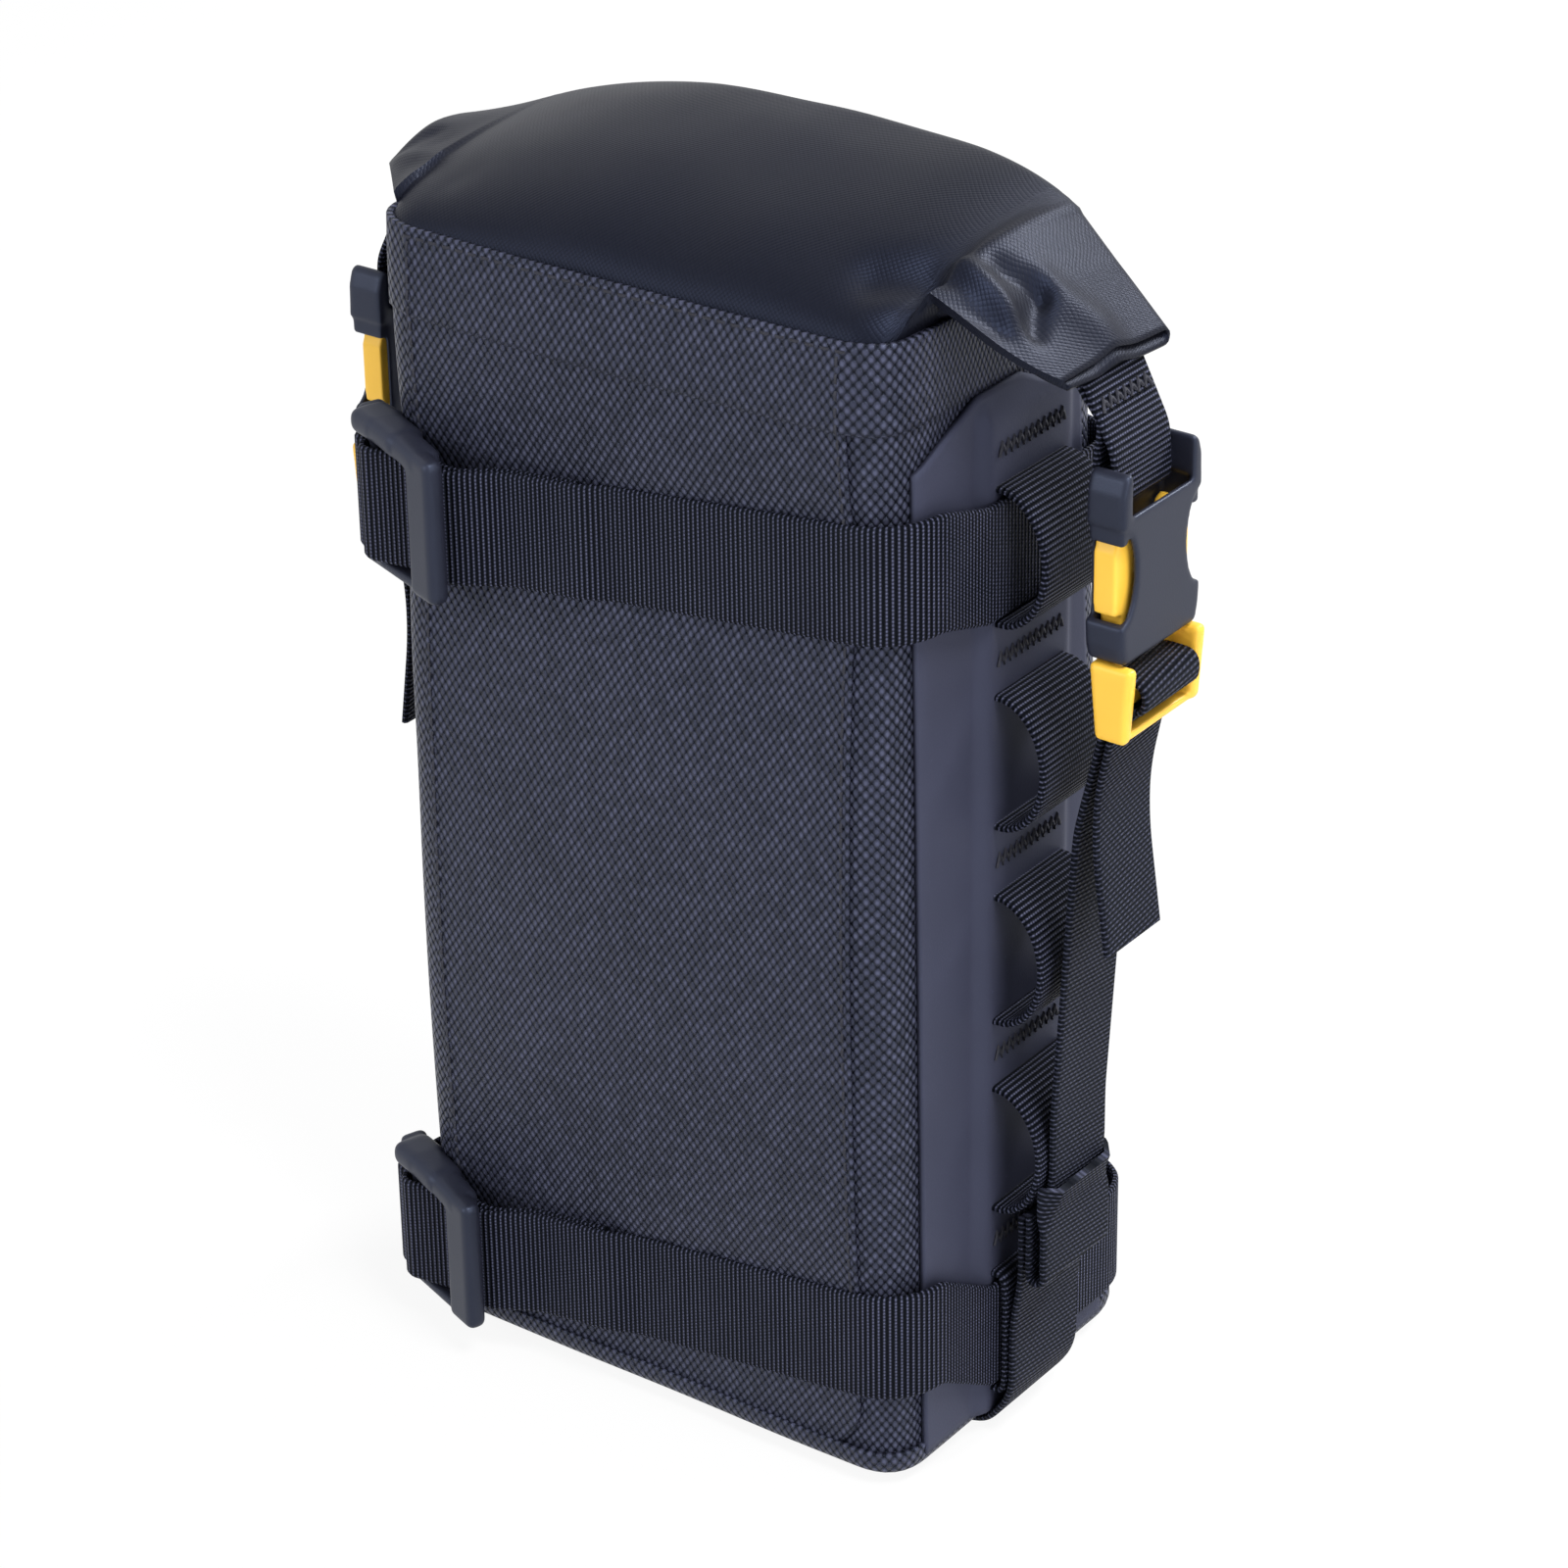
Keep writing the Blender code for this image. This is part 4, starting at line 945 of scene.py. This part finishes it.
def make_patch(sign):
    """Rubber patch, raised over the webbing that runs behind it."""
    columns, rows = 80, 150
    low, high = PATCH_LOW.z, PATCH_HIGH.z

    def spot(u, v):
        y0 = PATCH_FRONT_LOW + (PATCH_FRONT_TOP - PATCH_FRONT_LOW) * v
        y1 = PATCH_HIGH.y - BACK_LEAN * (high - low) * v
        y = y0 + (y1 - y0) * u
        shoulder = max(0.0, 1.0 - min(y - y0, y1 - y) / PATCH_SHOULDER)
        z = low + (high - PATCH_CHAMFER * shoulder - low) * v
        return y, z

    def place(u, v):
        y, z = spot(u, v)
        bend = max(0.0, (FRONT_Y + CORNER) - y)
        x = BODY_HALF - (CORNER - math.sqrt(max(0.0, CORNER ** 2 - bend ** 2)))
        raised = eased(within((WEB_WIDTH / 2 + RAISED_EDGE - abs(y - SIDE_Y)) / RAISED_SLOPE))
        ends = eased(within((high - 1.0 - z) / RAISED_END))
        x += GAP + RUBBER_THICK + PLY * raised * ends
        return Vector((sign * x, y, z))

    bm = laid_grid(columns, rows, place, spot)
    bmesh.ops.recalc_face_normals(bm, faces=bm.faces)
    side = SIDES[sign]
    bm.normal_update()
    bm.faces.ensure_lookup_table()
    if bm.faces[0].normal.x * sign < 0:
        bmesh.ops.reverse_faces(bm, faces=bm.faces)
    patch = finish_piece(side + "_rubber_patch", bm, RUBBER, nodes=(side + "_side_patch",))
    thicken(patch, RUBBER_THICK)


def loop_path(sign):
    """Middle line of the daisy chain, behind the rubber and out through its slits."""
    behind = BODY_HALF + LIFT
    steps, slit = 24, 3
    path = [(behind, PATCH_HIGH.z - 8.0)]
    for z in reversed(LOOP_HEIGHTS):
        lowest = z == LOOP_HEIGHTS[0]
        reach, power = (LOWEST_REACH, 0.4) if lowest else (LOOP_REACH, 1.0)
        path += [(behind, z + LOOP_HALF + slit), (behind, z + LOOP_HALF)]
        for i in range(1, steps):
            angle = math.pi / 2 - math.pi * i / steps
            c, s = math.cos(angle), math.sin(angle)
            rise = math.copysign(abs(s) ** power, s)
            path.append((LOOP_ROOT_X + reach * c ** power, z + LOOP_HALF * rise))
        path += [(behind, z - LOOP_HALF), (behind, z - LOOP_HALF - slit)]
    path.append((behind, PATCH_LOW.z + 1))
    return [Vector((sign * x, SIDE_Y, z)) for x, z in path]


def make_daisy_chain(sign):
    side = SIDES[sign]
    strap(side + "_daisy_webbing", loop_path(sign), WEB_WIDTH, WEBBING, nodes=(side + "_daisy_chain",),
          step=0.8)


def make_bar_tacks(sign):
    """Zigzag bar tacks through the rubber between the loops."""
    side = SIDES[sign]
    x = PATCH_HIGH.x + 0.15
    between = LOOP_PITCH / 2
    heights = [LOOP_HEIGHTS[-1] + between] + [h - between for h in reversed(LOOP_HEIGHTS[1:])]
    for i, height in enumerate(heights):
        zigzag(f"{side}_bar_tack_{i + 1}", WEB_WIDTH / 2 - 1.0, turns=22, rise=1.4,
               place=lambda y, z: Vector((sign * x, SIDE_Y + y, height + z)))


# Straps

BAR_PROUD = 1.6
BASE_TOP_OUT = 2.1
PLUG_BAR_TOP = 11.0
PLUG_BAR_TALL = 4.4
PLUG_BAR_HALF = 2.9
PLUG_BAR_OUT = 1.4
SOCKET_BAR_HALF = 1.3
SOCKET_BAR_IN = 2.9
LOWEST_X = LOOP_ROOT_X + LOWEST_REACH + PLY


def on_side(points, sign):
    return [Vector((sign * x, SIDE_Y, z)) for x, z in points]


def make_side_straps(sign):
    side = SIDES[sign]
    crest_x = CHAIN_HIGH.x - WEB / 2 + PLY
    bar_x = (SOCKET_LOW.x + SOCKET_HIGH.x) / 2 + PLUG_BAR_OUT
    stand = bar_x - PLUG_BAR_HALF - LIFT
    tail_x = stand + PLY
    bar_top = PLUG_LOW.z + PLUG_BAR_TOP
    bar_low = bar_top - PLUG_BAR_TALL
    outer = bar_x + PLUG_BAR_HALF + LIFT + BAR_PROUD
    near = LOWEST_X + BASE_TOP_OUT + PLY
    low, far = near + PLY, near + 2 * PLY
    foot = LOOP_HEIGHTS[1] - LOOP_HALF
    top = ANCHOR_HIGH.z
    points = [(low, ANCHOR_LOW.z + LIFT), (low, foot + PLY), (crest_x, top), (crest_x, top + LOOP_HALF),
              (crest_x + 4.6, PLUG_LOW.z - 25.0), (stand, PLUG_LOW.z), (stand, bar_top + LIFT),
              (outer, bar_top + LIFT), (outer, bar_low - LIFT), (tail_x, bar_low - LIFT),
              (tail_x, TAIL_HIGH.z)]
    run = rounded(on_side(points, sign), 3.6)
    strap(side + "_buckle_webbing", run, NARROW_WEB, TAPE, nodes=(side + "_buckle_strap",), step=0.8)
    length = TAIL_HIGH.z - TAIL_LOW.z
    hang = [(tail_x, TAIL_HIGH.z), (tail_x - 3.1, TAIL_HIGH.z - 0.3 * length),
            (tail_x - 3.1, TAIL_HIGH.z - 0.55 * length), (tail_x, TAIL_LOW.z)]
    tail = rounded(on_side(hang, sign), 20.0)
    strap(side + "_tail_webbing", tail, NARROW_WEB, TAPE, nodes=(side + "_strap_tail",), body=side + "_tail")
    bottom = ANCHOR_LOW.z + WEB / 2
    fold = [(near, foot + WEB), (near, bottom), (far, bottom), (far, foot + WEB), (crest_x + PLY, top - WEB)]
    strap(side + "_anchor_webbing", rounded(on_side(fold, sign), 1.8), WEB_WIDTH, TAPE,
          nodes=(side + "_anchor_tape",), step=0.8, curl=sign * 0.9)


def make_roll_strap(sign):
    side = SIDES[sign]
    low, high = span(side + "_roll_strap")
    bar_x = (SOCKET_LOW.x + SOCKET_HIGH.x) / 2 - SOCKET_BAR_IN
    inner, outer = bar_x - SOCKET_BAR_HALF - LIFT, bar_x + SOCKET_BAR_HALF + LIFT
    under = low.z + WEB / 2
    top = high.z - WEB / 2
    start_x = abs(low.x if sign > 0 else high.x)
    bend = [(start_x, top), (ROLL_HIGH.x - 4.0, top - 8.0), (outer - 0.6, SOCKET_HIGH.z + 2.0),
            (outer, under), (inner, under), (inner, SOCKET_HIGH.z),
            (outer - 2 * PLY, SOCKET_HIGH.z + 8.0), (ROLL_HIGH.x - 6.0, top - 9.0)]
    run = rounded(on_side(bend, sign), 2.4)
    slope = (outer - 0.6 - ROLL_HIGH.x + 4.0) / (top - 8.0 - SOCKET_HIGH.z - 2.0)

    def on_strap(y, z):
        return Vector((sign * (ROLL_HIGH.x - 3.0 + slope * (7.0 - z)), SIDE_Y + y, top - 15.0 + z))

    zigzag(f"{side}_strap_tack", NARROW_WEB / 2 - 1.5, turns=14, rise=1.2, place=on_strap)
    strap(side + "_roll_webbing", run, NARROW_WEB, WEBBING, nodes=(side + "_roll_strap",), step=0.8)


def make_base_strap():
    corner = PATCH_HIGH.x - PLY
    top = LOWEST_X + BASE_TOP_OUT
    low, high = LOOP_HEIGHTS[0] - LOOP_HALF, LOOP_HEIGHTS[0] + LOOP_HALF / 4
    right = [(0.0, WEB / 2), (corner, WEB / 2), (LOWEST_X, low), (LOWEST_X, high), (top, ANCHOR_LOW.z),
             (top, BASE_HIGH.z)]
    points = [(-x, z) for x, z in reversed(right[1:])] + right
    strap("base_webbing", rounded(on_side(points, 1), 5.0), WEB_WIDTH, TAPE, nodes=("base_strap",))


# Wrap straps and ladder locks

LOCK_ANGLE = math.radians(20.0)
LOCK_SHIFT = 3.0

# Bars of a lock in its own frame: middle along and out, half thickness, and reach round a bar's corner
FIXED_BAR = (-12.5, 4.2)
FIXED_BAR_HALF = 1.25
THREAD_BAR = (-7.0, 6.0)
THREAD_BAR_HALF = 1.5
BAR_CORNER = 1.44
PRESS_BAR = (6.0, 13.0)
PRESS_BAR_UNDER = 4.2
SHOULDER_DROP = 2.2


def on_lock(along, out):
    """A point of the ladder locks' own frame, round the left front corner."""
    away = Vector((-math.sin(LOCK_ANGLE), -math.cos(LOCK_ANGLE)))
    right = Vector((math.cos(LOCK_ANGLE), -math.sin(LOCK_ANGLE)))
    origin = Vector((-(BODY_HALF - CORNER), FRONT_Y + CORNER)) + away * CORNER + right * LOCK_SHIFT
    return origin + right * along + away * out


def bar_turn(centre, radius, first, last, steps=10):
    points = []
    for i in range(steps + 1):
        angle = math.radians(first + (last - first) * i / steps)
        points.append(Vector((centre[0] + radius * math.cos(angle), centre[1] + radius * math.sin(angle))))
    return points


def make_wrap_strap(level, heights):
    """Webbing from the front round the bag to the lock's sewn bar, and the end threaded through the lock."""
    side = PATCH_HIGH.x + LIFT
    front, back = FRONT_Y - LIFT, BACK_Y + LIFT
    split, tail_end, lift_off = -2.0, -12.0, -30.0
    turn_y = FRONT_Y + CORNER

    def raise_up(points):
        path = []
        for p in points:
            z = strap_height(p[0], p[1], *heights)
            path.append(Vector((p[0], lean(p[1], z), z)))
        return path

    wrap = bar_turn(on_lock(*FIXED_BAR), FIXED_BAR_HALF * BAR_CORNER + LIFT, 10, -190)
    run = [(split, front), (side, front), (side, LEVEL_Y), (side, back), (-side, back), (-side, LEVEL_Y),
           (-side + LIFT, turn_y - LIFT), tuple(wrap[0])]
    path = rounded([(x, y, 0) for x, y in run], 15.0, 10)
    path += [Vector((p.x, p.y, 0)) for p in wrap[1:]] + [Vector((-side - LIFT, turn_y + LIFT, 0))]
    fine, _ = evenly(path, 420)
    strap(level + "_wrap_webbing", raise_up(fine), WEB_WIDTH, WEBBING, across=(0, 0, 1), upright=True,
          nodes=(level + "_wrap_strap",))
    wrap = [on_lock(*p) for p in bar_turn(THREAD_BAR, THREAD_BAR_HALF * BAR_CORNER + LIFT, 70, 270)]
    over, under = front - PLY, PRESS_BAR_UNDER - LIFT
    near, far = PRESS_BAR
    first = [(split, front), (split - 3.0, front), (tail_end + WEB, over), (lift_off, over),
             on_lock(far, under), on_lock(near - LIFT, under), wrap[0]]
    last = [wrap[-1], on_lock(near - 2 * PLY, LIFT), on_lock(far, LIFT), (lift_off, front), (tail_end, front)]
    path = rounded([(p[0], p[1], 0) for p in first], 4.0)
    path += [Vector((p.x, p.y, 0)) for p in wrap[1:-1]]
    path += rounded([(p[0], p[1], 0) for p in last], 4.0)
    fine, _ = evenly(path, 200)
    end = strap(level + "_end_webbing", raise_up(fine), WEB_WIDTH, WEBBING, across=(0, 0, -1), body=None,
                nodes=(level + "_strap_end",), way=-1.0, step=0.8, upright=True)
    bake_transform(end)


# Moulded plastic

def moulded_mesh(bm, voxel, rounds):
    """One skin with soft edges round the closed solids of a mesh in millimetres."""
    mesh = bpy.data.meshes.new("solids")
    bm.to_mesh(mesh)
    bm.free()
    rough = bpy.data.objects.new("solids", mesh)
    bpy.context.scene.collection.objects.link(rough)
    remesh = rough.modifiers.new("skin", "REMESH")
    remesh.mode = "VOXEL"
    remesh.voxel_size = voxel
    smooth = rough.modifiers.new("soft", "SMOOTH")
    smooth.factor = 0.5
    smooth.iterations = rounds
    graph = bpy.context.evaluated_depsgraph_get()
    soft = bpy.data.meshes.new_from_object(rough.evaluated_get(graph))
    bpy.data.objects.remove(rough)
    bm = bmesh.new()
    bm.from_mesh(soft)
    return bm


def node_solid(node):
    """A merged copy of a frame node's mesh, in millimetres."""
    bm = bmesh.new()
    bm.from_mesh(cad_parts[node].data)
    bmesh.ops.remove_doubles(bm, verts=bm.verts, dist=1e-6)
    bmesh.ops.scale(bm, vec=(1 / MM,) * 3, verts=bm.verts)
    return bm


def add_block(bm, low, high, radius, to_world):
    """A block with all its edges rounded, between two corners of a piece's own frame."""
    low, high = Vector(low), Vector(high)
    middle, size = (low + high) / 2, high - low
    made = bmesh.ops.create_cube(bm, size=1.0)["verts"]
    bmesh.ops.scale(bm, vec=size, verts=made)
    bmesh.ops.translate(bm, vec=middle, verts=made)
    edges = list({e for v in made for e in v.link_edges})
    made = bmesh.ops.bevel(bm, geom=edges, offset=radius, affect="EDGES", segments=4, profile=0.5,
                           material=-1)
    for vert in set(made["verts"]):
        vert.co = to_world(vert.co)


def make_lock(level, heights):
    """Ladder lock: two rails, a broad bar to press, a bar for the threaded end and one for the sewn end."""
    middle = strap_height(TILT_END_X, FRONT_Y, *heights)
    half = WEB_WIDTH / 2 + 0.8

    def to_world(point):
        """The shoulder comes down towards the bar that is pressed."""
        place = on_lock(point.x, point.y)
        drop = SHOULDER_DROP * eased(within((point.x + 6.0) / 20.0)) if point.z > half else 0.0
        return Vector((place.x, lean(place.y, middle), middle + point.z - drop))

    # Low corner, high corner and radius; along, out and up in the lock's own frame
    blocks = (
        ((7.0, 3.7, -half - 2.2), (16.4, 8.2, half + 5.0), 1.5),
        ((-14.0, -0.2, half - 0.2), (-4.0, 9.0, half + 5.4), 2.2),
        ((-8.0, 0.4, half - 0.2), (4.0, 8.8, half + 5.4), 2.2),
        ((0.0, 1.4, half - 0.2), (12.0, 8.4, half + 5.2), 2.0),
        ((-13.5, 2.6, -half - 2.4), (12.0, 7.0, -half), 1.1),
        ((-8.5, 4.5, -half - 1.0), (-5.5, 7.5, half + 1.0), 1.2),
        ((-13.75, 2.95, -half - 1.0), (-11.25, 5.45, half + 1.0), 1.0),
        ((-16.4, -0.6, -half + 8.0), (-13.2, 5.6, half + 4.6), 1.3),
    )
    bm = bmesh.new()
    for low, high, radius in blocks:
        add_block(bm, low, high, radius, to_world)
    node = level + "_ladder_lock"
    finish_piece(node + "_moulding", moulded_mesh(bm, voxel=0.4, rounds=14), BLACK, level + "_lock", (node,))


PAD_BELOW = 2.4
SOCKET_RIM = 2.0
SOCKET_WALL = 1.0
BRIDGE_FROM = 11.4
BRIDGE_LOW = 25.4
BRIDGE_HIGH = 33.0
NOTCH_RISE = 18.8
NOTCH_DEPTH = 8.0
NOTCH_HALF = 10.4
NOTCH_SHARE = 0.66


def make_socket(sign):
    """Buckle socket with soft edges, a thin wall towards the bag and bridges above its side notches."""
    node = SIDES[sign] + "_buckle_socket"
    bm = node_solid(node)
    wall = SOCKET_LOW.x + SOCKET_WALL
    half = (SOCKET_HIGH.y - SOCKET_LOW.y) / 2 - SOCKET_RIM
    edge = half + SOCKET_RIM + GAP
    for vert in bm.verts:
        across = vert.co.y - SIDE_Y
        deep, up = edge - abs(across), vert.co.z - SOCKET_LOW.z - NOTCH_RISE
        if abs(math.hypot(deep / NOTCH_DEPTH, up / NOTCH_HALF) - 1.0) < 0.05:
            vert.co.y = SIDE_Y + math.copysign(edge - deep * NOTCH_SHARE, across)

    def to_world(point):
        return Vector((sign * point.x, SIDE_Y + point.y, point.z))

    low = (SOCKET_LOW.x + 0.1, -half, SOCKET_LOW.z + 4.0)
    add_block(bm, low, (wall, half, SOCKET_HIGH.z - 1.5), 0.3, to_world)
    for end in (-1, 1):
        edges = sorted((end * BRIDGE_FROM, end * (half + 1.6)))
        low = (SOCKET_LOW.x + 0.6, edges[0], SOCKET_LOW.z + BRIDGE_LOW)
        add_block(bm, low, (SOCKET_HIGH.x - 0.6, edges[1], SOCKET_LOW.z + BRIDGE_HIGH), 0.3, to_world)
    finish_piece(node + "_moulding", moulded_mesh(bm, voxel=0.42, rounds=9), BLACK, "bag", (node,))


def make_plug(sign):
    """Buckle plug: two tapered rails, the bars between them and the stem that guides it."""
    node = SIDES[sign] + "_buckle_plug"
    middle = (SOCKET_LOW.x + SOCKET_HIGH.x) / 2
    half = (PLUG_HIGH.y - PLUG_LOW.y) / 2
    window = NARROW_WEB / 2 + 0.8
    top, bottom = SOCKET_LOW.z - GAP, PLUG_LOW.z
    tall = top - bottom

    def to_world(point):
        """Rails and grip narrow towards the bottom."""
        narrow = 1.0 - 0.3 * within((top - point.z) / tall)
        return Vector((sign * (middle + 2.0 + (point.x - 2.0) * narrow), SIDE_Y + point.y, point.z))

    bm = bmesh.new()
    for side in (-1, 1):
        edges = sorted((side * window, side * half))
        add_block(bm, (-3.5, edges[0], bottom), (6.4, edges[1], top), 1.2, to_world)
    bar_top = bottom + PLUG_BAR_TOP
    bar_end = window + 1
    add_block(bm, (-1.4, -bar_end, bar_top - PLUG_BAR_TALL), (4.2, bar_end, bar_top), 0.9, to_world)
    add_block(bm, (-3.4, -bar_end, top - 2.6), (0.6, bar_end, top), 0.7, to_world)
    add_block(bm, (1.6, -bar_end, bottom), (5.6, bar_end, bottom + 1.9), 0.8, to_world)
    add_block(bm, (-1.6, -2.4, top - 1.5), (1.8, 2.4, PLUG_HIGH.z), 0.8, to_world)
    finish_piece(node + "_moulding", moulded_mesh(bm, voxel=0.36, rounds=4), YELLOW, "bag", (node,))


def make_prong(sign, node):
    """Sprung arm of the plug; its pad is a little below the socket's faces."""
    bm = node_solid(node)
    face = SOCKET_HIGH.x - PAD_BELOW
    half = (SOCKET_HIGH.y - SOCKET_LOW.y) / 2 - 0.8
    for vert in bm.verts:
        vert.co.x = sign * min(face, sign * vert.co.x)
        vert.co.y = SIDE_Y + max(-half, min(half, vert.co.y - SIDE_Y))
    finish_piece(node + "_moulding", moulded_mesh(bm, voxel=0.34, rounds=12), YELLOW, node, (node,))


def make_mouldings():
    for sign, side in SIDES.items():
        make_socket(sign)
        make_plug(sign)
        for end in ("front", "back"):
            make_prong(sign, f"{side}_prong_{end}")
    make_lock("upper", UPPER)
    make_lock("lower", LOWER)


# Stage

# Area lamps: name, place and size in metres, and power in watts
LAMPS = (
    ("key", (0.7, -0.2, 1.5), 0.5, 18.0),
    ("front", (-0.8, -1.7, 0.9), 1.1, 17.0),
    ("right", (1.7, -0.4, 0.7), 1.0, 14.0),
    ("back", (0.55, 1.3, 1.25), 0.5, 27.0),
)
LAMPS_AIM = (0, 0, 0.14)
SKY = (0.96, 0.98, 1.0, 1.0)
SKY_LIGHT = 0.3
PAPER = (0.93, 0.93, 0.93, 1.0)
PAPER_WHITE = 0.9


def make_stage():
    """White room and floor, seen as plain white but lighting the bag softly, and the lamps."""
    scene = bpy.context.scene
    scene.view_settings.view_transform = "Standard"
    world = bpy.data.worlds.new("studio")
    world.use_nodes = True
    scene.world = world
    studio = Shading(world.node_tree)
    dim = studio.node("ShaderNodeBackground", None, {"Color": SKY, "Strength": SKY_LIGHT})
    white = studio.node("ShaderNodeBackground", None, {"Color": WHITE, "Strength": 1.0})
    seen = studio.node("ShaderNodeMixShader", None, [studio.seen(), dim, white])
    studio.tree.links.new(seen.socket, studio.tree.nodes["World Output"].inputs[0])

    bm = bmesh.new()
    bmesh.ops.create_grid(bm, x_segments=1, y_segments=1, size=3.0)
    mesh = bpy.data.meshes.new("floor")
    bm.to_mesh(mesh)
    bm.free()
    floor = bpy.data.objects.new("floor", mesh)
    floor.location.z = -0.0005
    scene.collection.objects.link(floor)
    ground = bpy.data.materials.new("pale_floor")
    ground.use_nodes = True
    shader = ground.node_tree.nodes["Principled BSDF"]
    shader.inputs["Base Color"].default_value = PAPER
    shader.inputs["Roughness"].default_value = 0.9
    paper = Shading(ground.node_tree)
    white = paper.node("ShaderNodeEmission", None, {"Color": WHITE, "Strength": 1.0})
    lit = Wire(paper, shader.outputs[0])
    seen = paper.node("ShaderNodeMixShader", None, [paper.seen() * PAPER_WHITE, lit, white])
    paper.tree.links.new(seen.socket, paper.tree.nodes["Material Output"].inputs[0])
    mesh.materials.append(ground)

    for name, place, size, power in LAMPS:
        lamp = bpy.data.lights.new(name, "AREA")
        lamp.energy = power
        lamp.size = size
        obj = bpy.data.objects.new(name, lamp)
        obj.location = place
        aim = Vector(LAMPS_AIM) - obj.location
        obj.rotation_euler = aim.to_track_quat("-Z", "Y").to_euler()
        scene.collection.objects.link(obj)


def make_camera():
    right, up = Vector(CAMERA_RIGHT).normalized(), Vector(CAMERA_UP).normalized()
    back = right.cross(up).normalized()
    up = back.cross(right)
    data = bpy.data.cameras.new("photo_view")
    data.sensor_width = SENSOR
    data.lens = CAMERA_LENS
    data.clip_start, data.clip_end = 0.05, 20.0
    camera = bpy.data.objects.new("photo_view", data)
    turn = Matrix((right, up, back)).transposed().to_4x4()
    camera.matrix_world = Matrix.Translation(Vector(CAMERA_AT) * MM) @ turn
    bpy.context.scene.collection.objects.link(camera)
    bpy.context.scene.camera = camera


def make_bag():
    make_body()
    make_panel("front_panel_cloth", -1.0, ("front_panel",))
    make_panel("back_panel_cloth", 1.0, ("back_panel",))
    make_bands()
    make_stitches()
    make_roll()
    make_roll_layers()
    make_collar()
    make_base_strap()
    for sign in SIDES:
        make_patch(sign)
        make_daisy_chain(sign)
        make_bar_tacks(sign)
        make_side_straps(sign)
        make_roll_strap(sign)
    make_wrap_strap("upper", UPPER)
    make_wrap_strap("lower", LOWER)
    make_mouldings()


make_stage()
make_camera()
make_bag()
